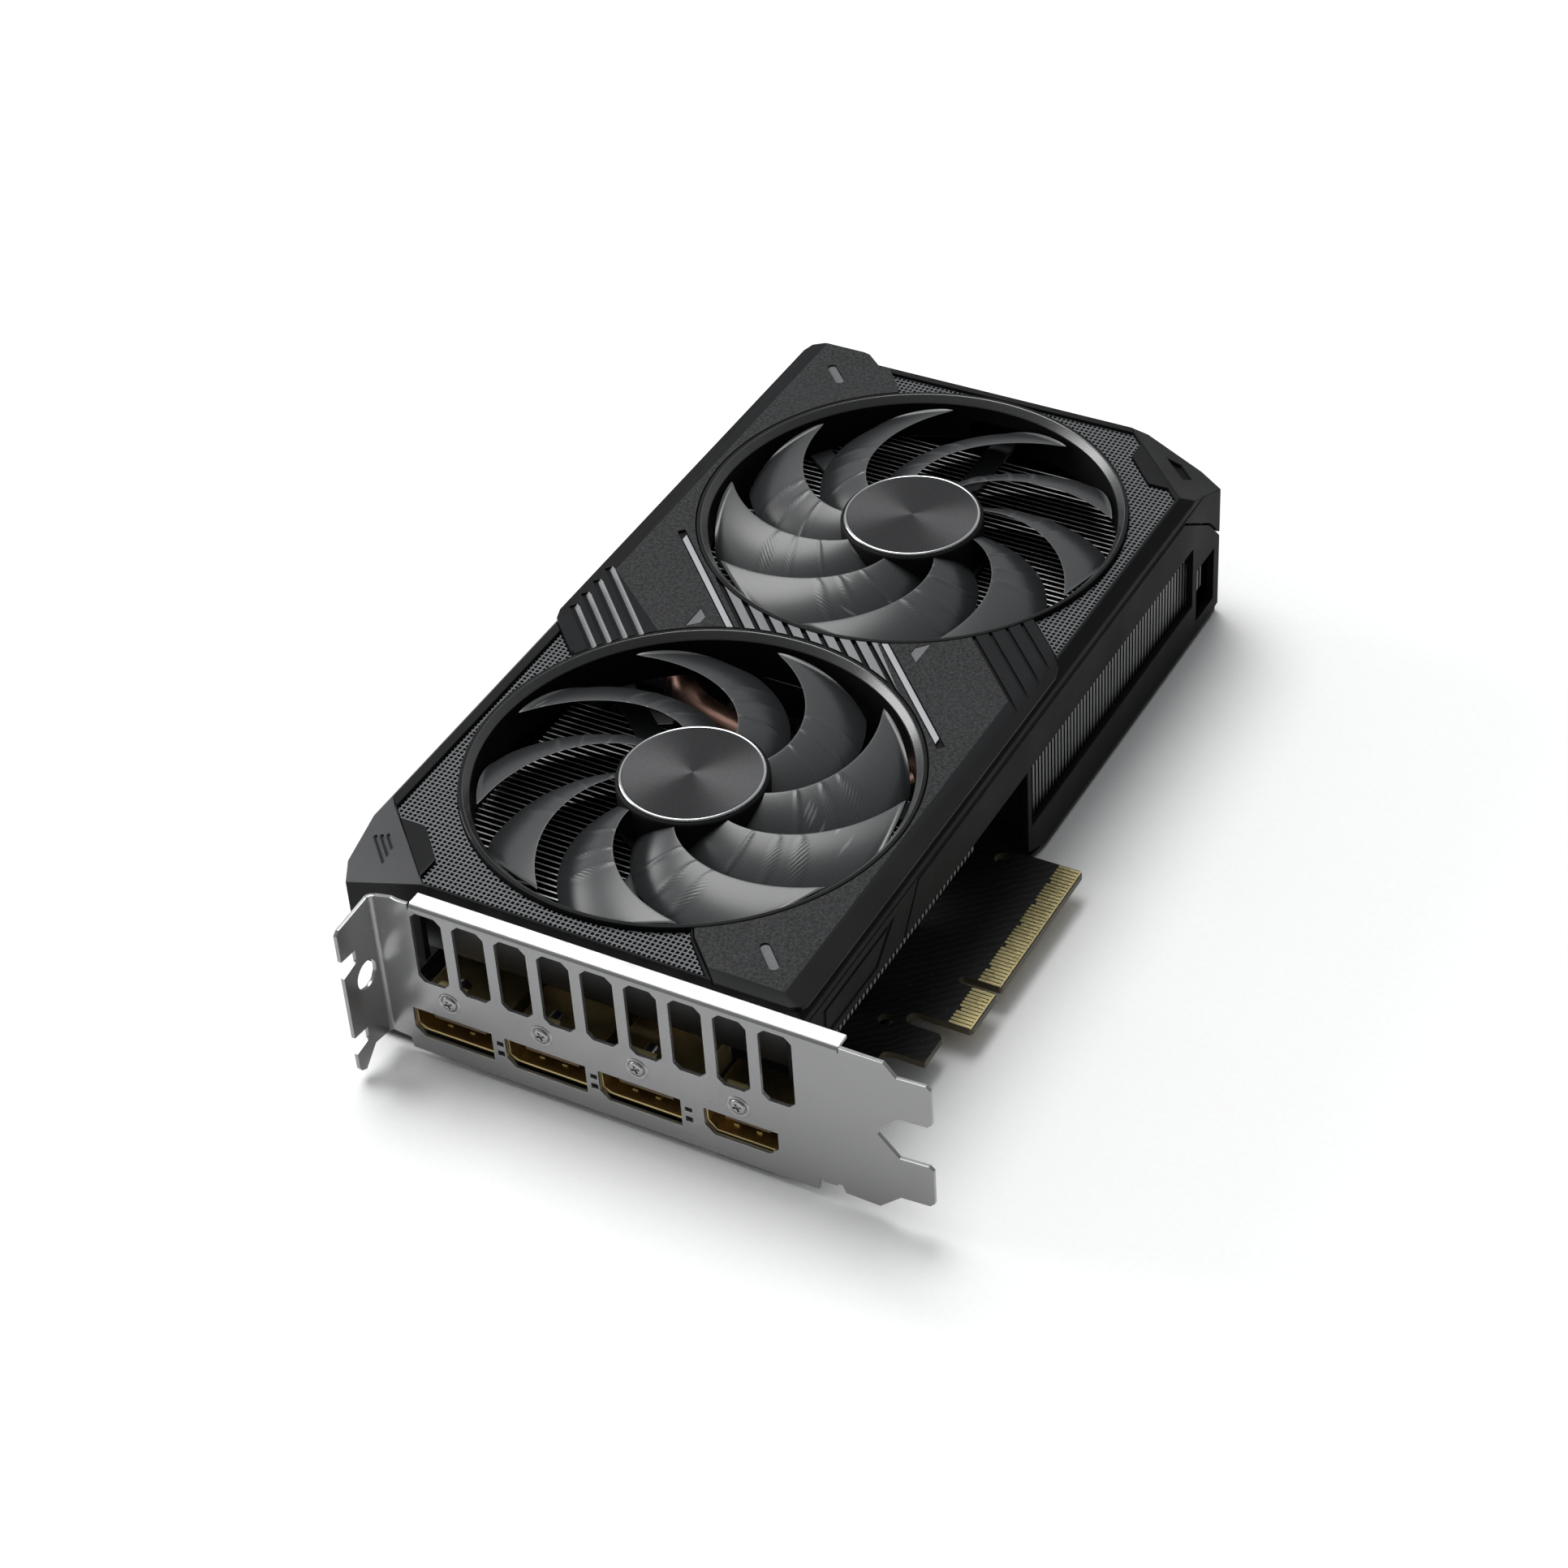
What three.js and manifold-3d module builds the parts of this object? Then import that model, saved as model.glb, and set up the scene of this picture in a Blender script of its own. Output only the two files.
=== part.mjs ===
// Two-fan graphics card, built as an assembly of separate solids.
// Millimetres, +Z up. X runs along the card from the slot bracket to the tail,
// Y runs across it (the edge connector faces -Y), Z goes from the backplate to the fans.
// Every shape is laid out from the slot bracket: x = 0 is the bracket's outer face,
// y = 0 the tips of its two tabs and z = 0 the lower edge of the lower tab.
// The finished group is shifted so that its origin is the middle of the
// edge connector's insertion edge.

import * as THREE from 'three';
import { mergeVertices } from 'three/addons/utils/BufferGeometryUtils.js';
import Module from 'manifold-3d';

const wasm = await Module();
wasm.setup();

// ---------------------------------------------------------------- dimensions
const SLOT_PITCH = 20.32;            // expansion-slot pitch
const SHEET = 0.86;                  // bracket sheet thickness
const TAB_WIDTH = 10.19;
const TAB_REACH = 6.7;               // tab length below the plate's shoulders
const FLANGE_Y = 119.05;             // inner face of the screw flange
const FLANGE_REACH = 11.43;
const PLATE_TOP = 33.3;
const PLATE_LOW = -5.4;
const VENT = { count: 9, y: 110.3, pitch: 9.42, wide: 7.0, top: 31.5, low: 13.7, chamfer: 1.4 };
const SOCKETS = [
  { y0: 95.0, y1: 113.0, z0: -1.3, z1: 5.7, screw: 103.9 },
  { y0: 74.0, y1: 92.0, z0: -1.3, z1: 5.7, screw: 83.1 },
  { y0: 53.1, y1: 71.1, z0: -1.3, z1: 5.7, screw: 62.1 },
  { y0: 32.2, y1: 48.0, z0: -0.5, z1: 5.7, screw: 40.3 },
];
const SCREW_Z = 10.2;

const BOARD_TOP = -0.4;
const BOARD_THICK = 1.57;
const BOARD_X0 = 2.0, BOARD_X1 = 97.1;
const BOARD_Y0 = 27.6, BOARD_Y1 = 122.0;
const EDGE_Y = 14.7;                 // insertion edge of the connector
const KEY_X = 45.8;                  // start of the short tongue
const TONGUE_SHORT = 11.2, KEY_GAP = 1.9, TONGUE_LONG = 38.2;
const CONTACT_PITCH = 1.0, CONTACT_WIDE = 0.7;

const FAN_X = [56.2, 151.7];
const FAN_Y = 79.9;
const STRUT_ANGLES = [[Math.PI, 0.87, -1.13], [0, 0.96, -1.13 - Math.PI / 2]];
const RIM_R = 45.06;                 // mouth of the fan ring
const RING_R = 43.9;                 // inner wall of the fan ring
const BLADE_TIP_R = 42.6;
const HUB_R = 15.4, CAP_R = 14.56;
const BLADES = 9;
const TOP_Z = 34.7;
const RING_SIDES = 44;

const SHROUD = { x0: 5.2, x1: 202.8, y0: 27.9, y1: 131.9, z0: 13.8, z1: 34.2 };
const SEAM_Z = 29.4;
const BACK_Z0 = -6.2, BACK_Z1 = -5.0;
const WALL = 1.6;

const FIN_PITCH = 1.56, FIN_THICK = 0.35;
const FIN_Y0 = 30.0, FIN_Y1 = 121.2, FIN_TOP = 22.6;
const PIPE_Z = 11.1, PIPE_R = 2.9;
const PIPE_Y = [68.0, 79.9, 91.8];

// ---------------------------------------------------------------- helpers
const group = new THREE.Group();
const ORIGIN = new THREE.Vector3(
  KEY_X + TONGUE_SHORT + KEY_GAP + TONGUE_LONG / 2,
  EDGE_Y,
  BOARD_TOP - BOARD_THICK / 2,
);

function solid(geometry) {
  if (!(geometry instanceof THREE.BufferGeometry)) return geometry;
  let g = geometry.clone();
  for (const key of Object.keys(g.attributes)) if (key !== 'position') g.deleteAttribute(key);
  g = mergeVertices(g, 1e-5);
  return new wasm.Manifold(new wasm.Mesh({
    numProp: 3,
    vertProperties: new Float32Array(g.attributes.position.array),
    triVerts: new Uint32Array(g.index.array),
  }));
}

function surface(manifold) {
  const m = manifold.getMesh();
  const g = new THREE.BufferGeometry();
  g.setAttribute('position', new THREE.BufferAttribute(new Float32Array(m.vertProperties), 3));
  g.setIndex(new THREE.BufferAttribute(new Uint32Array(m.triVerts), 1));
  g.computeVertexNormals();
  return g;
}

function join(...list) { return list.reduce((a, b) => a.add(b)); }
function cut(base, ...list) { return list.reduce((a, b) => a.subtract(b), base); }

function shapeOf(points) {
  return new THREE.Shape(points.map(([a, b]) => new THREE.Vector2(a, b)));
}
function circle(cx, cy, r, n, turn = 0) {
  const out = [];
  for (let i = 0; i < n; i += 1) {
    const a = turn + (2 * Math.PI * i) / n;
    out.push([cx + r * Math.cos(a), cy + r * Math.sin(a)]);
  }
  return out;
}
// an outline extruded along one axis; holes are cut right through
function extruded(points, low, high, holes, matrix) {
  const run = (pts, a, b) => {
    const g = new THREE.ExtrudeGeometry(shapeOf(pts), { depth: b - a, bevelEnabled: false });
    g.translate(0, 0, a);
    return g.applyMatrix4(matrix);
  };
  const base = run(points, low, high);
  if (!holes || !holes.length) return base;
  return cut(solid(base), ...holes.map((h) => solid(run(h, low - 1, high + 1))));
}
const AXIS_Z = new THREE.Matrix4();
const AXIS_X = new THREE.Matrix4().set(0, 0, 1, 0, 1, 0, 0, 0, 0, 1, 0, 0, 0, 0, 0, 1);
const AXIS_Y = new THREE.Matrix4().set(0, 1, 0, 0, 0, 0, 1, 0, 1, 0, 0, 0, 0, 0, 0, 1);
// outline in X and Y
const prismZ = (points, z0, z1, holes) => extruded(points, z0, z1, holes, AXIS_Z);
// outline in Y and Z
const prismX = (points, x0, x1, holes) => extruded(points, x0, x1, holes, AXIS_X);
// outline in X and Z
const prismY = (points, y0, y1, holes) => extruded(points.map(([x, z]) => [z, x]), y0, y1, (holes || []).map((h) => h.map(([x, z]) => [z, x])), AXIS_Y);
function block(x0, x1, y0, y1, z0, z1) {
  const g = new THREE.BoxGeometry(x1 - x0, y1 - y0, z1 - z0);
  g.translate((x0 + x1) / 2, (y0 + y1) / 2, (z0 + z1) / 2);
  return g;
}
function rect(a0, a1, b0, b1) { return [[a0, b0], [a1, b0], [a1, b1], [a0, b1]]; }
// ring or disc turned about a vertical axis; profile is [radius, height] pairs
function turned(profile, cx, cy, n) {
  const g = new THREE.LatheGeometry(profile.map(([r, z]) => new THREE.Vector2(r, z)), n);
  g.rotateX(Math.PI / 2);
  g.translate(cx, cy, 0);
  return g;
}

const finish = {
  plastic: { color: 0x1b1c1e, roughness: 0.62, metalness: 0.05 },
  panel: { color: 0x26282a, roughness: 0.85, metalness: 0.05 },
  accent: { color: 0x8f9294, roughness: 0.45, metalness: 0.3 },
  mesh: { color: 0x3a3c3e, roughness: 0.6, metalness: 0.1 },
  blade: { color: 0x3a3d40, roughness: 0.38, metalness: 0.15 },
  cap: { color: 0x131314, roughness: 0.3, metalness: 0.7 },
  bracket: { color: 0x9a9b9d, roughness: 0.32, metalness: 0.95 },
  steel: { color: 0xb5b7ba, roughness: 0.3, metalness: 0.95 },
  gold: { color: 0xc9a862, roughness: 0.35, metalness: 0.95 },
  board: { color: 0x0c0d0d, roughness: 0.5, metalness: 0.05 },
  chip: { color: 0x17181a, roughness: 0.55, metalness: 0.05 },
  die: { color: 0x4a5058, roughness: 0.15, metalness: 0.6 },
  pad: { color: 0x8f949b, roughness: 0.9, metalness: 0.0 },
  fin: { color: 0x55585b, roughness: 0.4, metalness: 0.9 },
  copper: { color: 0xb5714c, roughness: 0.35, metalness: 0.95 },
  coldplate: { color: 0xa9abad, roughness: 0.35, metalness: 0.9 },
  back: { color: 0x131415, roughness: 0.5, metalness: 0.2 },
};

function add(name, shape, look) {
  let g = shape instanceof THREE.BufferGeometry ? shape : surface(shape);
  g = g.clone();
  g.translate(-ORIGIN.x, -ORIGIN.y, -ORIGIN.z);
  const mesh = new THREE.Mesh(g, new THREE.MeshStandardMaterial(finish[look]));
  mesh.name = name;
  group.add(mesh);
}

// ---------------------------------------------------------------- slot bracket
{
  const tab2 = SLOT_PITCH;
  const plate = [
    [0, tab2], [0, tab2 + TAB_WIDTH], [TAB_REACH, tab2 + TAB_WIDTH], [9.2, PLATE_TOP],
    [113.0, PLATE_TOP], [114.2, PLATE_TOP + 0.3], [FLANGE_Y + SHEET, 32.4],
    [FLANGE_Y + SHEET, -2.6], [114.6, -2.9], [114.2, PLATE_LOW], [24.0, PLATE_LOW],
    [23.8, -2.4], [19.0, -2.2], [18.3, -3.9], [11.1, -4.1], [TAB_REACH, 0],
    [0, 0], [0, TAB_WIDTH], [TAB_REACH, TAB_WIDTH], [11.0, 14.8], [11.0, 16.3], [TAB_REACH, tab2],
  ].reverse();
  const holes = [];
  for (let i = 0; i < VENT.count; i += 1) {
    const y1 = VENT.y - i * VENT.pitch;
    const y0 = y1 - VENT.wide;
    const c = VENT.chamfer;
    holes.push([
      [y0, VENT.low + c], [y0 + c, VENT.low], [y1 - c, VENT.low], [y1, VENT.low + c],
      [y1, VENT.top - c], [y1 - c, VENT.top], [y0 + c, VENT.top], [y0, VENT.top - c],
    ]);
  }
  for (const s of SOCKETS) {
    const c = 2.0, far = s.y0 < 40 ? c : 0;
    holes.push([[s.y0, s.z0 + far], [s.y0 + far, s.z0], [s.y1 - c, s.z0], [s.y1, s.z0 + c], [s.y1, s.z1], [s.y0, s.z1]].filter((q, k, all) => k === 0 || q[0] !== all[k - 1][0] || q[1] !== all[k - 1][1]));
    holes.push(circle(s.screw, SCREW_Z, 1.5, 16));
  }
  const sheet = solid(prismX(plate, 0, SHEET, holes));
  // stiffening lip folded back along the top edge
  const lip = solid(block(0, 4.7, 18.2, 110.5, PLATE_TOP - SHEET, PLATE_TOP));
  // screw flange with its two open notches, round hole and lower finger
  const reach = -FLANGE_REACH;
  const flange = [
    [SHEET, 32.4], [0, 32.4], [reach + 1.0, 31.9], [reach, 31.0], [reach, 24.4], [-6.9, 23.9], [-6.9, 20.9],
    [reach, 20.1], [reach, 4.6], [-7.1, 4.0], [-7.1, 0.9], [reach, 0.3], [reach, -5.6],
    [-9.4, -6.4], [-8.0, -4.0], [-5.4, -1.6], [SHEET, -2.6],
  ];
  const ear = solid(prismY(flange, FLANGE_Y, FLANGE_Y + SHEET, [circle(-4.6, 15.7, 3.1, 16)]));
  add('slot_bracket', join(sheet, lip, ear), 'bracket');
}

// screws that hold the bracket to the socket ears, one per socket
SOCKETS.forEach((s, i) => {
  const profile = [[0, 0.5], [1.7, 0.55], [2.3, 0.2], [2.3, 0], [1.2, 0], [1.2, -6.4], [0, -6.4]].reverse();
  const g = turned(profile, 0, 0, 12);
  g.rotateY(-Math.PI / 2);
  g.translate(-0.01, s.screw, SCREW_Z);
  add(`bracket_screw_${i + 1}`, g, 'steel');
});

// ---------------------------------------------------------------- video sockets
SOCKETS.forEach((s, i) => {
  const large = i < 3;
  const y0 = s.y0 - 0.3, y1 = s.y1 + 0.3, z0 = s.z0 - 0.3 < BOARD_TOP ? BOARD_TOP : s.z0 - 0.3, z1 = s.z1 + 0.4;
  const back = large ? 19.0 : 14.0;
  const front = SHEET + 0.1;
  // shell: outer body, rear ear with the threaded hole, legs down to the board
  const body = solid(block(front, back, y0, y1, BOARD_TOP, z1));
  const cavity = solid(prismX([
    [s.y0 + 0.3, BOARD_TOP + 0.5], [s.y1 - 2.0, BOARD_TOP + 0.5], [s.y1 - 0.3, s.z0 + 2.4], [s.y1 - 0.3, s.z1], [s.y0 + 0.3, s.z1],
  ], -1, back - 4));
  const ear = solid(block(front, front + 1.6, s.screw - 3.2, s.screw + 3.2, z1 - 0.2, SCREW_Z + 2.8));
  const hole = solid(prismX(circle(s.screw, SCREW_Z, 1.3, 16), -1, 8));
  add(`video_socket_${i + 1}_shell`, cut(join(body, ear), cavity, hole), 'gold');
  // contact tongue standing in the shell
  const ty0 = s.y0 + 3.0, ty1 = s.y1 - 3.0;
  const zt = large ? 2.2 : 2.3;
  add(`video_socket_${i + 1}_tongue`, solid(prismX([
    [ty0, zt], [ty1, zt], [ty1, zt + 1.4], [ty0, zt + 1.4],
  ], 2.4, back - 4.05)), 'chip');
});

// ---------------------------------------------------------------- circuit board
const boardBottom = BOARD_TOP - BOARD_THICK;
const tongue1 = KEY_X, tongue1End = KEY_X + TONGUE_SHORT;
const tongue2 = tongue1End + KEY_GAP, tongue2End = tongue2 + TONGUE_LONG;
{
  const arc = (cx, cy, r, a0, a1, n) => {
    const out = [];
    for (let i = 0; i <= n; i += 1) {
      const a = a0 + ((a1 - a0) * i) / n;
      out.push([cx + r * Math.cos(a), cy + r * Math.sin(a)]);
    }
    return out;
  };
  const outline = [
    [BOARD_X0, BOARD_Y0], [31.4, BOARD_Y0], ...arc(32.7, 26.6, 1.0, Math.PI / 2, 0, 3), [34.0, 25.0], [34.0, 19.0], [41.4, 19.0], [42.4, 20.0],
    [42.4, 25.9], ...arc(44.1, 26.2, 1.65, Math.PI, 0, 6), [tongue1, 25.0],
    [tongue1, EDGE_Y + 0.6], [tongue1 + 0.6, EDGE_Y], [tongue1End - 0.4, EDGE_Y], [tongue1End, EDGE_Y + 0.4],
    ...arc((tongue1End + tongue2) / 2, 22.4, KEY_GAP / 2, Math.PI, 0, 6),
    [tongue2, EDGE_Y + 0.4], [tongue2 + 0.4, EDGE_Y], [tongue2End - 0.6, EDGE_Y], [tongue2End, EDGE_Y + 0.6],
    [tongue2End, BOARD_Y1], [BOARD_X0, BOARD_Y1],
  ];
  const holes = [
    circle(94.0, 31.4, 1.6, 16), circle(41.6, 31.2, 1.6, 16), circle(94.0, 108.6, 1.6, 16), circle(7.5, 118.4, 1.6, 16),
    circle(FAN_X[0] - 24, 55.9, 1.5, 12), circle(FAN_X[0] + 24, 55.9, 1.5, 12), circle(FAN_X[0] - 24, 103.9, 1.5, 12), circle(FAN_X[0] + 24, 103.9, 1.5, 12),
  ];
  add('circuit_board', prismZ(outline, boardBottom, BOARD_TOP, holes), 'board');
}

// gold contact rows on both faces of the two tongues, tied by their plating strip
function contactRow(x0, x1, count, z0, z1) {
  const pts = [];
  const low = EDGE_Y + 1.1, high = EDGE_Y + 6.1, tie = EDGE_Y + 6.35;
  const first = (x0 + x1) / 2 - ((count - 1) * CONTACT_PITCH) / 2;
  pts.push([first + (count - 1) * CONTACT_PITCH + CONTACT_WIDE / 2, tie], [first - CONTACT_WIDE / 2, tie]);
  for (let i = 0; i < count; i += 1) {
    const a = first + i * CONTACT_PITCH - CONTACT_WIDE / 2, b = a + CONTACT_WIDE;
    if (i > 0) pts.push([a, high]);
    pts.push([a, low], [b, low]);
    if (i < count - 1) pts.push([b, high]);
  }
  return prismZ(pts, z0, z1);
}
add('edge_contacts_short_front', contactRow(tongue1, tongue1End, 11, BOARD_TOP, BOARD_TOP + 0.06), 'gold');
add('edge_contacts_long_front', contactRow(tongue2, tongue2End, 38, BOARD_TOP, BOARD_TOP + 0.06), 'gold');
add('edge_contacts_short_rear', contactRow(tongue1, tongue1End, 11, boardBottom - 0.06, boardBottom), 'gold');
add('edge_contacts_long_rear', contactRow(tongue2, tongue2End, 38, boardBottom - 0.06, boardBottom), 'gold');

// ---------------------------------------------------------------- parts on the board
const chipX = FAN_X[0];
add('gpu_substrate', block(chipX - 18, chipX + 18, FAN_Y - 18, FAN_Y + 18, BOARD_TOP, 0.8), 'chip');
add('gpu_die', block(chipX - 8, chipX + 8, FAN_Y - 6.5, FAN_Y + 6.5, 0.8, 1.6), 'die');
const memory = [[chipX - 15, 108.4], [chipX + 3, 108.4], [chipX - 15, 46.4], [chipX + 3, 46.4]];
memory.forEach(([x, y], i) => add(`memory_chip_${i + 1}`, block(x, x + 12, y, y + 14 - (i > 1 ? 1.5 : 1.5), BOARD_TOP, 0.8), 'chip'));
add('thermal_pad_1', block(chipX - 15, chipX + 15, 108.9, 120.4, 0.8, 3.0), 'pad');
add('thermal_pad_2', block(chipX - 15, chipX + 15, 46.9, 58.4, 0.8, 3.0), 'pad');
[0, 1, 2].forEach((i) => add(`inductor_${i + 1}`, block(84.0, 91.0, 52 + i * 12, 59 + i * 12, BOARD_TOP, 3.8), 'chip'));
add('capacitor_1', turned([[0, BOARD_TOP], [3.1, BOARD_TOP], [3.1, 7.6], [0, 7.6]], 91.0, 99.5, 14), 'steel');
add('capacitor_2', turned([[0, BOARD_TOP], [3.1, BOARD_TOP], [3.1, 7.6], [0, 7.6]], 91.0, 92.0, 14), 'steel');
add('fan_header', cut(solid(block(84.0, 92.0, 40.0, 44.5, BOARD_TOP, 5.0)), solid(block(84.8, 91.2, 40.7, 43.8, 1.2, 9))), 'chip');

// eight-way supply connector on the long edge, openings facing +Y
{
  const x0 = 73.0, x1 = 92.2, y0 = 113.4, y1 = 128.6, z1 = 9.6;
  const wells = [];
  for (let i = 0; i < 4; i += 1) {
    for (let k = 0; k < 2; k += 1) {
      const cx = x0 + 3.3 + i * 4.2, cz = BOARD_TOP + 2.8 + k * 4.2;
      wells.push(solid(block(cx - 1.7, cx + 1.7, y0 + 3, y1 + 2, cz - 1.7, cz + 1.7)));
    }
  }
  add('power_connector', cut(solid(block(x0, x1, y0, y1, BOARD_TOP, z1)), ...wells), 'chip');
}

// ---------------------------------------------------------------- cooler
add('cold_plate', join(
  solid(block(chipX - 19, chipX + 19, 60.5, 106.3, 1.6, 8.1)),
  solid(block(chipX - 16, chipX + 16, 46.2, 60.6, 3.0, 5.0)),
  solid(block(chipX - 16, chipX + 16, 106.2, 121.0, 3.0, 5.0)),
), 'coldplate');

// spring frame behind the chip, pulled up against the board's rear face
{
  const a = 24, z0 = boardBottom - 1.3, z1 = boardBottom - 0.2;
  const arms = [];
  for (const [sx, sy] of [[1, 1], [1, -1], [-1, 1], [-1, -1]]) {
    const d = 2.4;
    arms.push(solid(prismZ((sx * sy > 0 ? [[-d, d], [d, -d], [sx * a + d, sy * a - d], [sx * a - d, sy * a + d]] : [[-d, -d], [d, d], [sx * a + d, sy * a + d], [sx * a - d, sy * a - d]])
      .map(([x, y]) => [x + chipX, y + FAN_Y]).sort((p, q) => Math.atan2(p[1] - FAN_Y - (sy * a) / 2, p[0] - chipX - (sx * a) / 2) - Math.atan2(q[1] - FAN_Y - (sy * a) / 2, q[0] - chipX - (sx * a) / 2)), z0, z1)));
    arms.push(solid(prismZ(circle(chipX + sx * a, FAN_Y + sy * a, 4.2, 12), z0, z1)));
  }
  const holes = [[1, 1], [1, -1], [-1, 1], [-1, -1]].map(([sx, sy]) => solid(prismZ(circle(chipX + sx * a, FAN_Y + sy * a, 1.5, 8), z0 - 1, z1 + 1)));
  add('retention_frame', cut(join(...arms), ...holes), 'steel');
}

// heatpipes: flattened under the fins over the chip, each with a swept path
PIPE_Y.forEach((y, i) => {
  const shift = (i - 1) * 9;
  const path = new THREE.CatmullRomCurve3([
    new THREE.Vector3(14 + 6 * Math.abs(i - 1), y, PIPE_Z),
    new THREE.Vector3(40, y, PIPE_Z),
    new THREE.Vector3(74, y, PIPE_Z),
    new THREE.Vector3(88, y + shift * 0.15, PIPE_Z),
    new THREE.Vector3(104, y + shift * 0.85, PIPE_Z),
    new THREE.Vector3(118, y + shift, PIPE_Z),
    new THREE.Vector3(192, y + shift, PIPE_Z),
  ], false, 'centripetal');
  const section = shapeOf(circle(0, 0, PIPE_R, 8));
  add(`heatpipe_${i + 1}`, new THREE.ExtrudeGeometry(section, { steps: 16, extrudePath: path, bevelEnabled: false }), 'copper');
});

// fin stacks: plates across X on a common web
function comb(x0, x1, web0, web1, low, high) {
  const n = Math.floor((x1 - x0 - FIN_THICK) / FIN_PITCH);
  const start = (x0 + x1) / 2 - (n * FIN_PITCH) / 2;
  const upper = [], lower = [];
  for (let i = 0; i <= n; i += 1) {
    const a = start + i * FIN_PITCH - FIN_THICK / 2, b = a + FIN_THICK;
    upper.push([a, web1], [a, high], [b, high], [b, web1]);
    if (low < web0) lower.push([a, web0], [a, low], [b, low], [b, web0]);
  }
  if (low >= web0) lower.push([start - FIN_THICK / 2, web0], [start + n * FIN_PITCH + FIN_THICK / 2, web0]);
  return [...upper.slice(1, -1), ...lower.reverse().slice(low < web0 ? 1 : 0, low < web0 ? -1 : undefined)];
}
{
  const front = solid(prismY(comb(8.6, 79.4, 14.3, 15.0, 14.3, FIN_TOP), FIN_Y0, FIN_Y1));
  add('fin_stack_front', front, 'fin');
  const rear = solid(prismY(comb(101.0, 192.8, 14.3, 15.0, 2.6, FIN_TOP), FIN_Y0, FIN_Y1));
  add('fin_stack_rear', cut(rear, solid(block(95, 205, 54.5, 105.3, -3, 14.25))), 'fin');
}

// ---------------------------------------------------------------- shroud
const corner = {
  // plan outline of the shroud, anticlockwise from the bracket end on the connector side
  outline: [
    [SHROUD.x0, SHROUD.y0], [197.6, SHROUD.y0], [200.4, 33.6], [SHROUD.x1, 51.0],
    [SHROUD.x1, SHROUD.y1], [10.8, SHROUD.y1], [6.0, 129.4], [SHROUD.x0, 108.8],
  ],
};
function inset(points, d) {
  const n = points.length, out = [];
  for (let i = 0; i < n; i += 1) {
    const [ax, ay] = points[(i + n - 1) % n], [bx, by] = points[i], [cx, cy] = points[(i + 1) % n];
    const u = new THREE.Vector2(bx - ax, by - ay).normalize(), v = new THREE.Vector2(cx - bx, cy - by).normalize();
    const nu = new THREE.Vector2(-u.y, u.x), nv = new THREE.Vector2(-v.y, v.x);
    const k = 1 + nu.dot(nv);
    out.push([bx + ((nu.x + nv.x) * d) / k, by + ((nu.y + nv.y) * d) / k]);
  }
  return out;
}
// half-space wedge that slopes a corner of the shroud downwards
function wedge(p, q, r, up = 40, out = 60) {
  const a = new THREE.Vector3(...p), b = new THREE.Vector3(...q), c = new THREE.Vector3(...r);
  const x = b.clone().sub(a).normalize();
  const n = x.clone().cross(c.clone().sub(a)).normalize();
  if (n.z < 0) n.negate();
  const y = n.clone().cross(x);
  const m = new THREE.Matrix4().makeBasis(x, y, n);
  m.setPosition(a);
  const g = new THREE.BoxGeometry(2 * out, 2 * out, up);
  g.translate(0, 0, up / 2);
  g.applyMatrix4(m);
  return solid(g);
}
const TAIL_FACET = [[202.8, 52.9, 34.2], [177.8, 27.9, 34.2], [197.6, 27.9, 25.9]];
const FRONT_FACET = [[5.1, 110.1, 34.2], [26.9, 131.9, 34.2], [10.8, 131.9, 28.1]];
const lowered = (pts, d) => pts.map(([x, y, z]) => [x, y, z - d]);
// the facets stop at their own corner
const tailZone = solid(block(170, 215, 15, 60, 0, 60));
const frontZone = solid(block(-10, 38, 104, 150, 0, 60));

// recess outlines for the two mesh inserts and the diagonal cover
const FRONT = [FAN_X[0], FAN_Y], REAR = [FAN_X[1], FAN_Y];
const meshFront = [
  [5.9, 48.6], [13.6, 56.0], FRONT, [80.2, 122.4], [85.0, 127.6], [22.8, 127.6],
  [20.4, 125.0], [20.4, 119.3], [12.4, 111.9], [7.4, 112.0], [5.9, 110.4],
];
const meshRear = [
  [119.3, 30.8], [179.2, 30.8], [182.4, 33.8], [182.4, 38.4], [190.6, 46.0], [195.6, 46.2], [198.8, 49.2],
  [198.8, 109.0], [193.4, 104.6], REAR, [127.7, 39.2],
];
const coverOutline = [
  [4.9, 30.6], [5.9, 28.6], [7.4, 27.95], [113.2, 27.95], [116.4, 28.9], [118.6, 30.6], [128.2, 40.2], REAR,
  [193.0, 104.0], [199.6, 109.4], [199.6, 112.2], [203.0, 116.4], [203.4, 118.0], [203.4, 128.2], [202.2, 131.0], [199.4, 131.85],
  [91.4, 131.85], [88.4, 130.8], [85.2, 127.9], [79.7, 122.2], FRONT, [13.9, 55.7], [4.9, 46.6],
];
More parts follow.
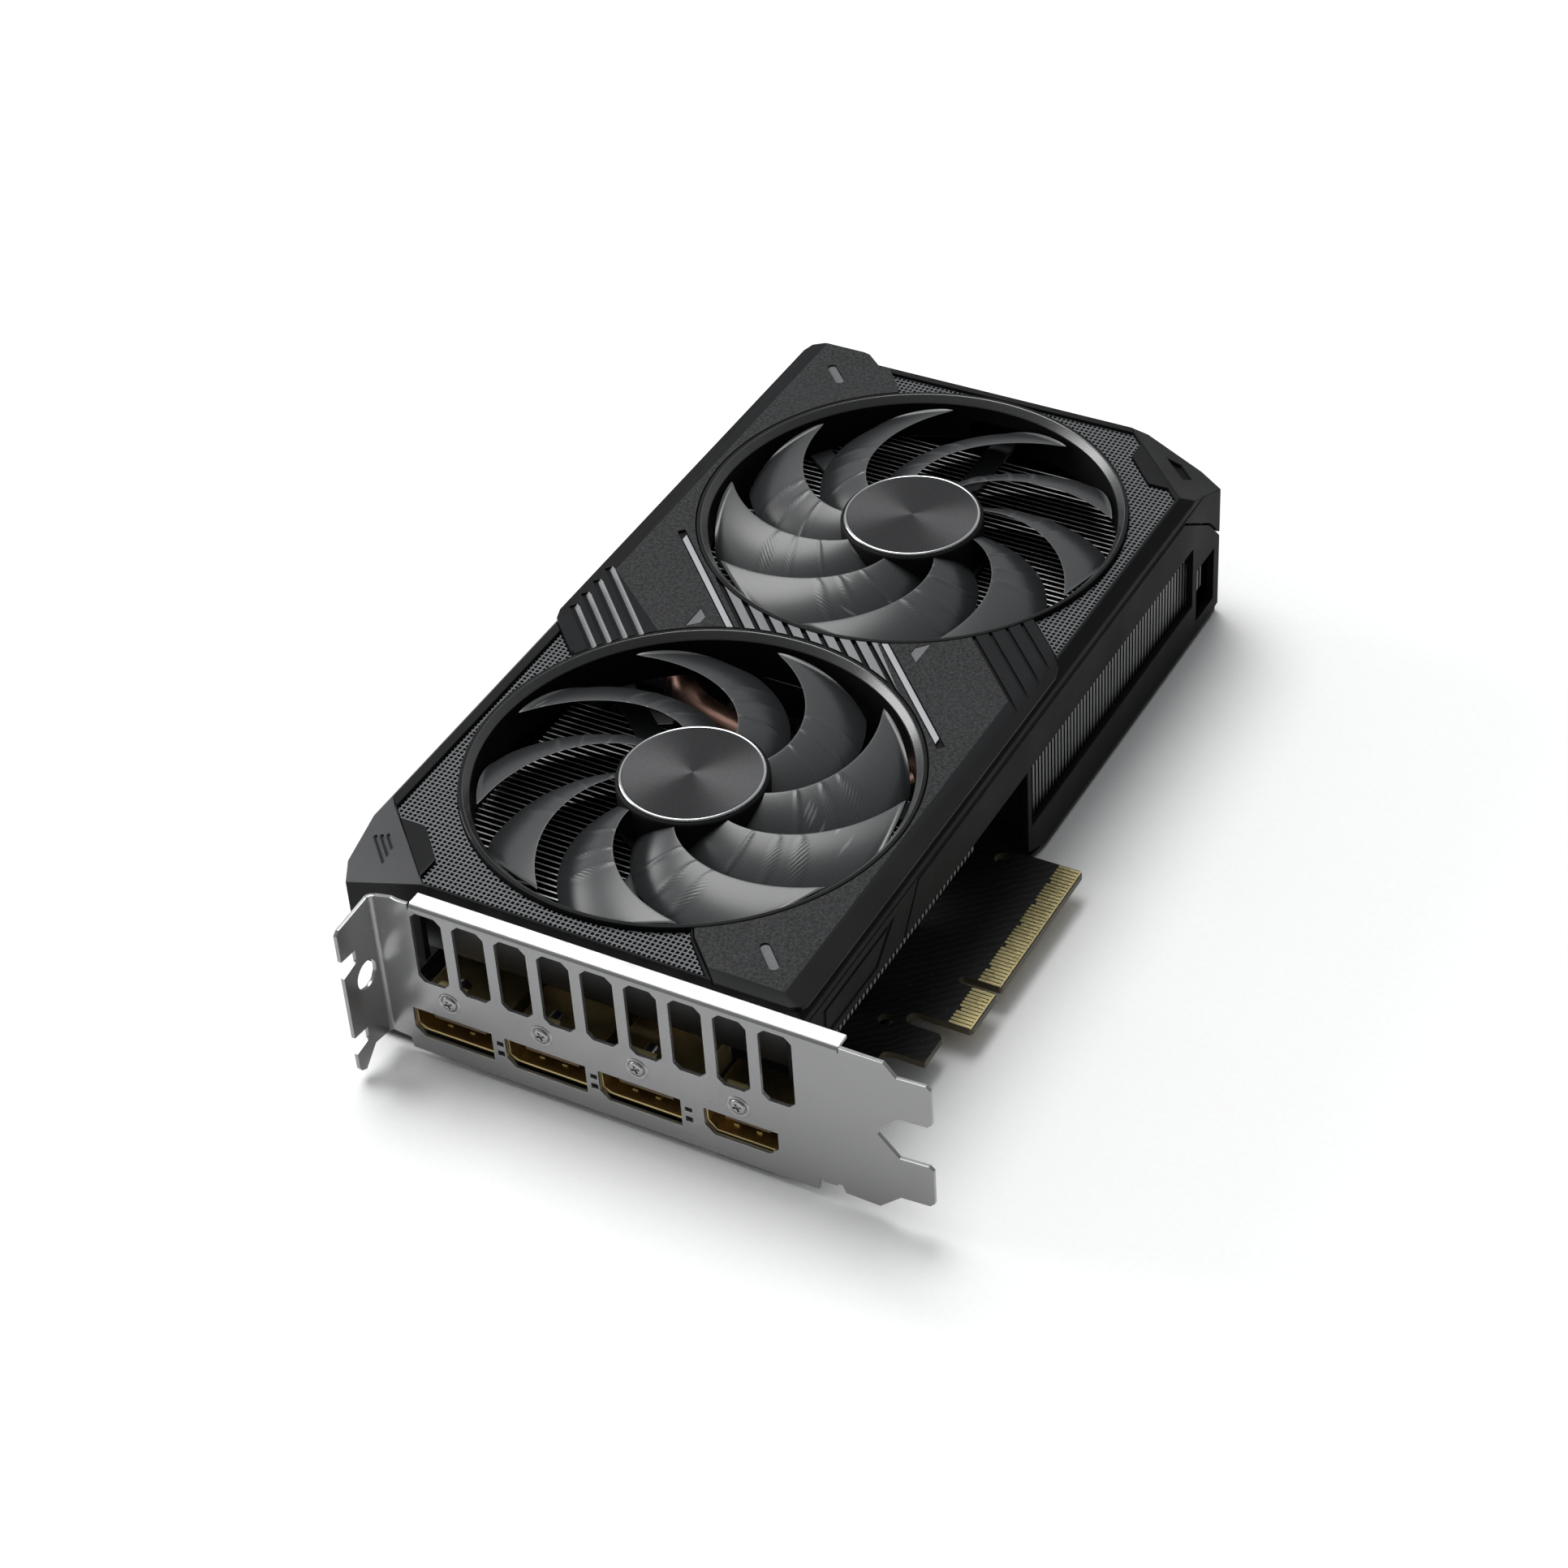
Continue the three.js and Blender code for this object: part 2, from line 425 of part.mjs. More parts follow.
const ringHole = (i, r, z0, z1) => solid(prismZ(circle(FAN_X[i], FAN_Y, r, RING_SIDES), z0, z1));
{
  const outer = cut(solid(prismZ(corner.outline, SHROUD.z0, SHROUD.z1)), wedge(...TAIL_FACET).intersect(tailZone), wedge(...FRONT_FACET).intersect(frontZone));
  const innerPts = inset(corner.outline, WALL);
  const hollow = cut(solid(prismZ(innerPts, SHROUD.z0 - 5, SHROUD.z1 - 2.4)), wedge(...lowered(TAIL_FACET, 2.4)).intersect(tailZone), wedge(...lowered(FRONT_FACET, 2.4)).intersect(frontZone));
  let body = cut(outer, hollow);
  // deep ring walls around the fans
  for (const i of [0, 1]) body = body.add(solid(prismZ(circle(FAN_X[i], FAN_Y, RIM_R + 1.1, RING_SIDES), 24.3, TOP_Z)));
  for (const i of [0, 1]) {
    body = cut(body, ringHole(i, RING_R, 10, 40));
    body = cut(body, solid(turned([[0, TOP_Z - 1.1], [RING_R, TOP_Z - 1.1], [RIM_R + 0.02, TOP_Z + 0.02], [RIM_R + 0.02, 40], [0, 40]], FAN_X[i], FAN_Y, RING_SIDES)));
  }
  // mesh recesses
  for (const pts of [meshFront, meshRear]) {
    let recess = solid(prismZ(pts, SHROUD.z1 - 1.4, 40));
    for (const i of [0, 1]) recess = cut(recess, ringHole(i, RIM_R + 1.1, 0, 50));
    body = cut(body, recess);
  }
  // seat of the diagonal cover
  let seat = solid(prismZ(coverOutline, SHROUD.z1 - 1.0, 40));
  for (const i of [0, 1]) seat = cut(seat, ringHole(i, RIM_R + 1.1, 0, 50));
  body = cut(body, seat);
  // along both long sides the shroud ends at the seam with the lower shell
  const seam = [[51.0, SEAM_Z], [178.0, SEAM_Z], [192.0, 20.4], [199.0, 13.0], [199.0, 0], [44.0, 0], [44.0, 19.3]];
  const seamBack = [[96.0, SEAM_Z], [210.0, SEAM_Z], [210.0, 0], [96.0, 0]];
  body = cut(body, solid(prismY(seam, 20, 29.8)), solid(prismY(seamBack, 130.0, 140)));
  body = cut(body, solid(block(195, 215, 52.7, 140.0, 0, SEAM_Z)));
  // skirt over the board on the connector side
  body = cut(body, solid(block(0, 60.0, 20, 29.8, 0, 19.3)));
  // deep skirt along the flange side, then the supply-connector notch in it
  body = join(body, solid(block(11.0, 98.8, SHROUD.y1 - WALL, SHROUD.y1, 1.6, SHROUD.z0 + 0.4)));
  body = cut(body, solid(block(70.5, 94.7, 126, 140, 0, 16.5)));
  // the short end behind the bracket stays open for exhaust air
  body = cut(body, solid(block(0, 8.4, 32.0, 112.0, 0, 31.2)));
  add('shroud_frame', body, 'plastic');
}
// diagonal cover plate with its ribs and grooves
{
  let cover = solid(prismZ(inset(coverOutline, 0.15), SHROUD.z1 - 0.98, TOP_Z));
  for (const i of [0, 1]) cover = cut(cover, ringHole(i, RIM_R + 1.3, 0, 50));
  const d = Math.PI / 4;
  const slot = (x, y, length, width, deep, turn = d) => {
    const g = new THREE.BoxGeometry(length, width, deep * 2);
    g.rotateZ(turn);
    g.translate(x, y, TOP_Z);
    return solid(g);
  };
  // accent bars sit in pockets
  const bars = [[111.6, 107.65, 34.6], [96.3, 52.15, 34.6]];
  const cuts = bars.map(([x, y, l]) => slot(x, y, l + 0.4, 1.9, 0.62));
  // rib field between the fans
  for (let i = -4; i <= 4; i += 1) cuts.push(slot(103.95, 79.9 + i * 4.05, 26, 1.0, 0.5));
  // groove groups at both ends of the rib band
  for (let i = 0; i < 4; i += 1) {
    const k = 86.4 + i * 4.75;
    cuts.push(slot(k, 122.8 - i * 1.2, 13.4 + i * 2.6, 1.1, 0.5));
    cuts.push(slot(207.9 - k, 159.8 - (122.8 - i * 1.2), 13.4 + i * 2.6, 1.1, 0.5));
  }
  // two small oblong insets
  for (const [x, y] of [[192.7, 119.7], [14.9, 40.1]]) cuts.push(slot(x, y, 7.0, 1.9, 0.4));
  cover = cut(cover, ...cuts);
  add('centre_cover', cover, 'panel');
  bars.forEach(([x, y, l], i) => {
    const g = new THREE.BoxGeometry(l, 1.4, 0.55);
    g.rotateZ(d);
    g.translate(x, y, TOP_Z - 0.3);
    add(`accent_bar_${i + 1}`, cut(solid(g), ringHole(0, RIM_R + 1.6, 0, 50), ringHole(1, RIM_R + 1.6, 0, 50)), 'accent');
  });
}
// mesh inserts lie in their recesses
[meshFront, meshRear].forEach((pts, i) => {
  let insert = solid(prismZ(inset(pts, 0.25), SHROUD.z1 - 1.35, SHROUD.z1 - 0.75));
  insert = cut(insert, ringHole(i, RIM_R + 1.4, 0, 50), solid(prismZ(inset(coverOutline, -0.2), 0, 50)));
  add(`mesh_insert_${i + 1}`, insert, 'mesh');
});

// ---------------------------------------------------------------- lower shell and backplate
{
  const outline = [
    [99.2, SHROUD.y0], [197.6, SHROUD.y0], [200.4, 33.6], [SHROUD.x1 + 0.8, 51.0], [SHROUD.x1 + 0.8, SHROUD.y1], [99.2, SHROUD.y1],
  ];
  const inner = [
    [90, SHROUD.y0 + WALL], [196.5, SHROUD.y0 + WALL], [199.0, 34.2], [SHROUD.x1 - 0.8, 51.2], [SHROUD.x1 - 0.8, SHROUD.y1 - WALL], [90, SHROUD.y1 - WALL],
  ];
  let shell = solid(prismZ(outline, BACK_Z1 + 0.05, SEAM_Z - 0.3));
  shell = cut(shell, solid(prismZ(inner, -20, 60)));
  // connector-side wall: stepped front end and the seam that drops towards the tail
  const side = [
    [44.6, 19.3], [51.4, SEAM_Z - 0.3], [177.7, SEAM_Z - 0.3], [191.6, 20.1], [197.6, 13.6], [203.0, 13.6], [203.0, BACK_Z1 + 0.05],
    [106.0, BACK_Z1 + 0.05], [99.2, -1.6], [99.2, 19.3],
  ];
  shell = cut(shell, solid(block(30, 215, 20, 34.0, -20, 60)));
  shell = join(shell, solid(prismY(side, SHROUD.y0, SHROUD.y0 + WALL)).intersect(solid(prismZ([[30, 20], [197.6, 20], [197.6, SHROUD.y0], [200.4, 33.6], [200.4, 40], [30, 40]], -20, 60))));
  shell = join(shell, solid(prismZ([[196.0, SHROUD.y0], [197.6, SHROUD.y0], [200.4, 33.6], [200.4, 34.4], [198.9, 34.4], [198.7, 33.9], [196.0, 28.6]], BACK_Z1 + 0.05, 13.6)));
  shell = cut(shell, solid(block(185, 215, 34, 53.0, SHROUD.z0 - 0.3, 60)));
  // fin window in the connector-side wall and the tail outlet
  shell = cut(shell, solid(block(101.0, 182.8, 20, 32, 4.0, 19.4)));
  shell = cut(shell, solid(block(185.0, 194.6, 20, 30.5, -1.6, 12.0)));
  shell = cut(shell, solid(block(196, 215, 60.0, 122.0, -0.5, 12.0)));
  add('lower_shell', shell, 'plastic');
}
{
  const outline = [
    [2.0, 33.0], [30.0, 33.0], [99.0, 33.0], [100.6, 29.0], [107.0, SHROUD.y0], [196.0, SHROUD.y0], [200.4, 34.6], [203.6, 52.0], [203.6, 130.4], [202.1, SHROUD.y1],
    [7.0, SHROUD.y1], [2.0, 127.0],
  ];
  const holes = [circle(94.0, 108.6, 1.6, 16), circle(7.5, 118.4, 1.6, 16)];
  for (let i = 0; i < 9; i += 1) {
    const y = 44 + i * 9;
    holes.push([[112, y], [190, y], [190, y + 4], [112, y + 4]]);
  }
  add('backplate', prismZ(outline, BACK_Z0, BACK_Z1, holes), 'back');
}

// ---------------------------------------------------------------- fans
const BLADE_Z0 = 25.7, BLADE_Z1 = 33.2;
// one swept blade as a closed loft between the hub and the tip
function blade(sense, turn) {
  const rows = 4, pos = [], idx = [];
  const r0 = HUB_R - 0.8, r1 = BLADE_TIP_R;
  for (let i = 0; i <= rows; i += 1) {
    const t = i / rows, r = r0 + (r1 - r0) * t;
    const sweep = sense * (0.98 * Math.pow(t, 1.15));
    const span = (0.62 - 0.13 * t);
    const zl = BLADE_Z0 + 1.0 * t, zh = BLADE_Z1 - 0.6 - 0.8 * t;
    for (const [u, side] of [[0, 1], [0.5, 1], [1, 1], [1, -1], [0.5, -1], [0, -1]]) {
      const a = turn + sweep + sense * (u - 0.5) * span;
      const z = zl + (zh - zl) * u + 0.55 * side + 0.7 * Math.sin(Math.PI * u);
      pos.push(r * Math.cos(a), r * Math.sin(a), z);
    }
  }
  const k = 6;
  for (let i = 0; i < rows; i += 1) {
    for (let j = 0; j < k; j += 1) {
      const a = i * k + j, b = i * k + ((j + 1) % k), c = a + k, d = b + k;
      idx.push(a, b, c, b, d, c);
    }
  }
  for (const [base, flip] of [[0, true], [rows * k, false]]) {
    for (const [p, q, s] of [[0, 1, 5], [1, 4, 5], [1, 2, 4], [2, 3, 4]]) {
      if (flip) idx.push(base + p, base + s, base + q); else idx.push(base + p, base + q, base + s);
    }
  }
  const g = new THREE.BufferGeometry();
  g.setAttribute('position', new THREE.Float32BufferAttribute(pos, 3));
  if (sense < 0) for (let i = 0; i < idx.length; i += 3) [idx[i + 1], idx[i + 2]] = [idx[i + 2], idx[i + 1]];
  g.setIndex(idx);
  return g;
}
function oriented(g) {
  // turn the loft inside out if its volume comes out negative
  const p = g.attributes.position, ix = g.index.array;
  let v = 0;
  const a = new THREE.Vector3(), b = new THREE.Vector3(), c = new THREE.Vector3();
  for (let i = 0; i < ix.length; i += 3) {
    a.fromBufferAttribute(p, ix[i]); b.fromBufferAttribute(p, ix[i + 1]); c.fromBufferAttribute(p, ix[i + 2]);
    v += a.dot(b.cross(c));
  }
  if (v < 0) for (let i = 0; i < ix.length; i += 3) { const t = ix[i + 1]; ix[i + 1] = ix[i + 2]; ix[i + 2] = t; }
  return g;
}
FAN_X.forEach((fx, i) => {
  const n = i + 1, sense = i === 0 ? 1 : -1;
  // rotor: cup-shaped hub with nine blades
  let rotor = solid(turned([
    [1.0, 32.0], [12.6, 32.0], [12.6, 25.2], [HUB_R, 25.2], [HUB_R, 33.0], [HUB_R - 0.6, 33.6], [1.0, 33.6], [1.0, 32.0],
  ], 0, 0, 27));
  for (let k = 0; k < BLADES; k += 1) {
    let b = solid(oriented(blade(sense, (2 * Math.PI * k) / BLADES + 0.25)));
    b = cut(b, solid(turned([[0, 10], [13.6, 10], [13.6, 50], [0, 50]], 0, 0, 27)));
    rotor = rotor.add(b);
  }
  add(`fan_${n}_rotor`, rotor.translate([fx, FAN_Y, 0]), 'blade');
  add(`fan_${n}_hub_cap`, turned([[0, 33.62], [CAP_R, 33.62], [CAP_R, 33.9], [CAP_R - 0.25, 34.07], [0, 34.07]], fx, FAN_Y, 32), 'cap');
  add(`fan_${n}_shaft`, turned([[0, 24.8], [0.9, 24.8], [0.9, 33.58], [0, 33.58]], fx, FAN_Y, 12), 'steel');
  add(`fan_${n}_bearing`, turned([[1.0, 24.6], [2.6, 24.6], [2.6, 31.4], [1.0, 31.4], [1.0, 24.6]], fx, FAN_Y, 12), 'gold');
  // wound stator: ring with six poles
  {
    let st = solid(turned([[2.7, 25.4], [5.4, 25.4], [5.4, 31.0], [2.7, 31.0], [2.7, 25.4]], fx, FAN_Y, 12));
    for (let k = 0; k < 6; k += 1) {
      const arm = new THREE.BoxGeometry(7.4, 3.2, 4.6);
      arm.translate(8.2, 0, 28.2);
      arm.rotateZ((k * Math.PI) / 3);
      arm.translate(fx, FAN_Y, 0);
      st = st.add(solid(arm));
    }
    add(`fan_${n}_stator`, st, 'copper');
  }
  // support: motor base with three struts out to the ring
  {
    let base = solid(turned([[0, 23.1], [16.0, 23.1], [16.0, 24.55], [0, 24.55]], fx, FAN_Y, 30));
    for (let k = 0; k < 3; k += 1) {
      const strut = new THREE.BoxGeometry(31.0, 5.2, 1.0);
      strut.translate(30.4, 0, 23.6);
      strut.rotateZ(STRUT_ANGLES[i][k]);
      strut.translate(fx, FAN_Y, 0);
      base = base.add(solid(strut));
    }
    base = cut(base, solid(prismZ(rect(-60, 0, 0, 1), -5, -4)));
    add(`fan_${n}_support`, base, 'plastic');
  }
});

export default group;
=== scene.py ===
"""Graphics card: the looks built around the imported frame."""

import math

import bmesh
import bpy
import numpy as np
from mathutils import Matrix, Vector


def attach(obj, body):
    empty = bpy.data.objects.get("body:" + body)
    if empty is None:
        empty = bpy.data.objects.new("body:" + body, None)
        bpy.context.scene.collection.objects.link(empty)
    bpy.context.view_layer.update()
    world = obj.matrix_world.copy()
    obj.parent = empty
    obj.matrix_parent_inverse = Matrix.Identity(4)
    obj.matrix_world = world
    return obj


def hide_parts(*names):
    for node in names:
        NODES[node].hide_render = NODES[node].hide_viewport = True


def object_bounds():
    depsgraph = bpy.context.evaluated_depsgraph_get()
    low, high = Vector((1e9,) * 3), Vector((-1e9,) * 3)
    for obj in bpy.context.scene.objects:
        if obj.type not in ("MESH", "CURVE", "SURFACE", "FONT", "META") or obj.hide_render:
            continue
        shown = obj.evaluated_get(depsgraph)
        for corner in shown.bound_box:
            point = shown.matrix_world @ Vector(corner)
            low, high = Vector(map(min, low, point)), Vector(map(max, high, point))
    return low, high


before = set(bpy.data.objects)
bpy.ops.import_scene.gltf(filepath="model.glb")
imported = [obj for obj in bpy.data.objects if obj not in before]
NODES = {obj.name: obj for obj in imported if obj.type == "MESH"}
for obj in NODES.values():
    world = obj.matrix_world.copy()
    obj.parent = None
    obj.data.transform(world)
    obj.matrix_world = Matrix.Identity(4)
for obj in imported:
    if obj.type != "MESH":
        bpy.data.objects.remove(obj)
CAD_LO, CAD_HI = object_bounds()

# ---------------------------------------------------------------- layout, millimetres
ORG = Vector((78.0, 14.7, -1.185))
FAN_X = (56.2, 151.7)
FAN_Y = 79.9
RIM_R, RING_R, TIP_R, HUB_R, CAP_R = 45.06, 43.9, 42.6, 15.4, 14.56
TOP, ROOF = 34.7, 34.2
SEAM = 29.4
FR, RR = (FAN_X[0], FAN_Y), (FAN_X[1], FAN_Y)
SIDES = 160
MESH_FRONT = [[5.9, 48.6], [13.6, 56.0], FR, [80.2, 122.4], [85.0, 127.6], [22.8, 127.6], [20.4, 125.0], [20.4, 119.3],
              [12.4, 111.9], [7.4, 112.0], [5.9, 110.4]]
MESH_REAR = [[119.3, 30.8], [179.2, 30.8], [182.4, 33.8], [182.4, 38.4], [190.6, 46.0], [195.6, 46.2], [198.8, 49.2],
             [198.8, 109.0], [193.4, 104.6], RR, [127.7, 39.2]]
COVER = [[4.9, 30.6], [5.9, 28.6], [7.4, 27.95], [113.2, 27.95], [116.4, 28.9], [118.6, 30.6], [128.2, 40.2], RR,
         [193.0, 104.0], [199.6, 109.4], [199.6, 112.2], [203.0, 116.4], [203.4, 118.0], [203.4, 128.2], [202.2, 131.0],
         [199.4, 131.85], [91.4, 131.85], [88.4, 130.8], [85.2, 127.9], [79.7, 122.2], FR, [13.9, 55.7], [4.9, 46.6]]
PLAN = [[5.2, 27.9], [197.6, 27.9], [200.4, 33.6], [202.8, 51.0], [202.8, 131.9], [10.8, 131.9], [6.0, 129.4], [5.2, 108.8]]
TAIL_FACET = [(202.8, 52.9, 34.2), (177.8, 27.9, 34.2), (197.6, 27.9, 25.9)]
FRONT_FACET = [(5.1, 110.1, 34.2), (26.9, 131.9, 34.2), (10.8, 131.9, 28.1)]

scene = bpy.context.scene
rng = np.random.default_rng(7)


# ---------------------------------------------------------------- mesh helpers, all in millimetres
def mesh_of(verts, faces, name="m"):
    me = bpy.data.meshes.new(name)
    me.from_pydata([tuple(map(float, v)) for v in verts], [], [list(map(int, f)) for f in faces])
    me.update()
    return me


def outward(me):
    bm = bmesh.new()
    bm.from_mesh(me)
    bmesh.ops.recalc_face_normals(bm, faces=bm.faces)
    bm.to_mesh(me)
    bm.free()
    return me


def prism(pts, a, b, axis="z"):
    n = len(pts)
    put = {"z": lambda p, h: (p[0], p[1], h), "y": lambda p, h: (p[0], h, p[1]), "x": lambda p, h: (h, p[0], p[1])}[axis]
    verts = [put(p, a) for p in pts] + [put(p, b) for p in pts]
    faces = [list(range(n))[::-1], list(range(n, 2 * n))]
    faces += [[i, (i + 1) % n, n + (i + 1) % n, n + i] for i in range(n)]
    return outward(mesh_of(verts, faces))


def block(x0, x1, y0, y1, z0, z1):
    return prism([(x0, y0), (x1, y0), (x1, y1), (x0, y1)], z0, z1)


def circle(cx, cy, r, n=SIDES, turn=0.0):
    return [(cx + r * math.cos(turn + 2 * math.pi * i / n), cy + r * math.sin(turn + 2 * math.pi * i / n)) for i in range(n)]


def lathe(profile, cx=0.0, cy=0.0, n=SIDES):
    """Turns a profile of (radius, z) about a vertical axis; points on the axis become one vertex."""
    verts, rings = [], []
    for r, z in profile:
        if r < 1e-6:
            rings.append([len(verts)] * n)
            verts.append((cx, cy, z))
        else:
            rings.append(list(range(len(verts), len(verts) + n)))
            verts += [(cx + r * math.cos(2 * math.pi * i / n), cy + r * math.sin(2 * math.pi * i / n), z) for i in range(n)]
    closed = profile[0] == profile[-1]
    if closed:
        verts = verts[:-n]
        rings[-1] = rings[0]
    faces = []
    for a, b in zip(rings[:-1], rings[1:]):
        for i in range(n):
            j = (i + 1) % n
            f = [a[i], a[j], b[j], b[i]]
            g = []
            for v in f:
                if v not in g:
                    g.append(v)
            if len(g) > 2:
                faces.append(g)
    return outward(mesh_of(verts, faces))


def sweep(p0, p1, profile):
    """Extrudes a profile of (across, z) from p0 to p1 in plan; across is to the right of the way it goes."""
    d = Vector((p1[0] - p0[0], p1[1] - p0[1])).normalized()
    s = Vector((d.y, -d.x))
    n = len(profile)
    verts = [(p[0] + s.x * a, p[1] + s.y * a, z) for p in (p0, p1) for a, z in profile]
    faces = [list(range(n)), list(range(n, 2 * n))[::-1]]
    faces += [[i, (i + 1) % n, n + (i + 1) % n, n + i] for i in range(n)]
    return outward(mesh_of(verts, faces))


def inset(pts, d):
    """Moves each side of a polygon inwards by d."""
    area = sum(pts[i][0] * pts[(i + 1) % len(pts)][1] - pts[(i + 1) % len(pts)][0] * pts[i][1] for i in range(len(pts)))
    sign = 1 if area > 0 else -1
    lines = []
    for i in range(len(pts)):
        (x0, y0), (x1, y1) = pts[i], pts[(i + 1) % len(pts)]
        length = math.hypot(x1 - x0, y1 - y0)
        nx, ny = -(y1 - y0) / length * sign, (x1 - x0) / length * sign
        lines.append((x0 + nx * d, y0 + ny * d, x1 - x0, y1 - y0))
    out = []
    for i in range(len(lines)):
        ax, ay, adx, ady = lines[i - 1]
        bx, by, bdx, bdy = lines[i]
        det = adx * bdy - ady * bdx
        if abs(det) < 1e-9:
            out.append((bx, by))
        else:
            t = ((bx - ax) * bdy - (by - ay) * bdx) / det
            out.append((ax + adx * t, ay + ady * t))
    return out


def wedge(a, b, c, far=60.0, reach=90.0):
    """A slab on the outer side of the plane through three points."""
    a, b, c = Vector(a), Vector(b), Vector(c)
    u = (b - a).normalized()
    n = u.cross(c - a).normalized()
    if n.z < 0:
        n = -n
    v = n.cross(u)
    m = (a + b + c) / 3
    verts = [m + u * i * reach + v * j * reach + n * k for k in (0, far) for i, j in ((-1, -1), (1, -1), (1, 1), (-1, 1))]
    faces = [[0, 1, 2, 3], [4, 5, 6, 7], [0, 1, 5, 4], [1, 2, 6, 5], [2, 3, 7, 6], [3, 0, 4, 7]]
    return outward(mesh_of(verts, faces))


def temp(me):
    ob = bpy.data.objects.new("t", me)
    scene.collection.objects.link(ob)
    return ob


def evaluated(ob):
    dg = bpy.context.evaluated_depsgraph_get()
    dg.update()
    return bpy.data.meshes.new_from_object(ob.evaluated_get(dg), preserve_all_data_layers=True, depsgraph=dg)


def boolean(base, tools, op="DIFFERENCE", solver="MANIFOLD"):
    ob = temp(base)
    made = [temp(t) for t in tools]
    for t in made:
        m = ob.modifiers.new("b", "BOOLEAN")
        m.operation, m.object, m.solver = op, t, solver
    bpy.context.view_layer.update()
    me = evaluated(ob)
    for t in made + [ob]:
        bpy.data.objects.remove(t)
    return me


def cut(base, *tools):
    return boolean(base, tools)


def join(base, *tools):
    return boolean(base, tools, "UNION")


def meet(base, tool):
    return boolean(base, [tool], "INTERSECT")


def tidy(me, bevel=0.0, segments=2, angle=28, flat=0.0):
    """Merges coplanar triangles and rounds the edges."""
    ob = temp(me)
    m = ob.modifiers.new("w", "WELD")
    m.merge_threshold = 0.004
    if flat:
        m = ob.modifiers.new("d", "DECIMATE")
        m.decimate_type, m.angle_limit = "DISSOLVE", math.radians(flat)
    if bevel:
        m = ob.modifiers.new("t", "TRIANGULATE")
        m.min_vertices = 5
        m = ob.modifiers.new("v", "BEVEL")
        m.width, m.segments, m.limit_method, m.angle_limit = bevel, segments, "ANGLE", math.radians(angle)
        m.use_clamp_overlap = False
        m.miter_outer = "MITER_SHARP"
    bpy.context.view_layer.update()
    out = evaluated(ob)
    bpy.data.objects.remove(ob)
    return out


def merged(meshes):
    verts, faces, mats = [], [], []
    for me in meshes:
        base = len(verts)
        verts += [tuple(v.co) for v in me.vertices]
        faces += [[base + i for i in p.vertices] for p in me.polygons]
        mats += [p.material_index for p in me.polygons]
    out = mesh_of(verts, faces)
    out.polygons.foreach_set("material_index", mats)
    return out


def dress(ob, angle=34, weighted=True):
    me = ob.data
    me.polygons.foreach_set("use_smooth", [True] * len(me.polygons))
    me.set_sharp_from_angle(angle=math.radians(angle))
    if weighted:
        w = ob.modifiers.new("normals", "WEIGHTED_NORMAL")
        w.keep_sharp, w.weight = True, 60


def piece(name, me, body, mats, stands_for=(), angle=34, weighted=True):
    """Puts a mesh made in millimetres in the row frame, as a piece on a body."""
    me.name = name
    me.transform(Matrix.Scale(0.001, 4) @ Matrix.Translation(-ORG))
    index = [p.material_index for p in me.polygons]
    me.materials.clear()
    mats = list(mats) if isinstance(mats, (list, tuple)) else [mats]
    for m in mats:
        me.materials.append(m)
    me.polygons.foreach_set("material_index", [min(k, len(mats) - 1) for k in index])
    ob = bpy.data.objects.new(name, me)
    scene.collection.objects.link(ob)
    dress(ob, angle, weighted)
    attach(ob, body)
    if stands_for:
        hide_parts(*stands_for)
    return ob


def node_look(node, material, bevel=0.0, segments=2, angle=30, flat=0.0, smooth=34):
    """A CAD node that stays: rounded edges by modifier, and a finished material."""
    ob = NODES[node]
    m = ob.modifiers.new("weld", "WELD")
    m.merge_threshold = 0.000004
    if flat:
        m = ob.modifiers.new("planar", "DECIMATE")
        m.decimate_type, m.angle_limit = "DISSOLVE", math.radians(flat)
    if bevel:
        m = ob.modifiers.new("round", "BEVEL")
        m.width, m.segments, m.limit_method, m.angle_limit = bevel * 0.001, segments, "ANGLE", math.radians(angle)
        m.use_clamp_overlap = False
    ob.data.materials.clear()
    ob.data.materials.append(material)
    ob.data.polygons.foreach_set("material_index", [0] * len(ob.data.polygons))
    ob.data.polygons.foreach_set("use_smooth", [smooth > 0] * len(ob.data.polygons))
    if smooth:
        w = ob.modifiers.new("normals", "WEIGHTED_NORMAL")
        w.keep_sharp, w.weight = True, 60
    return ob


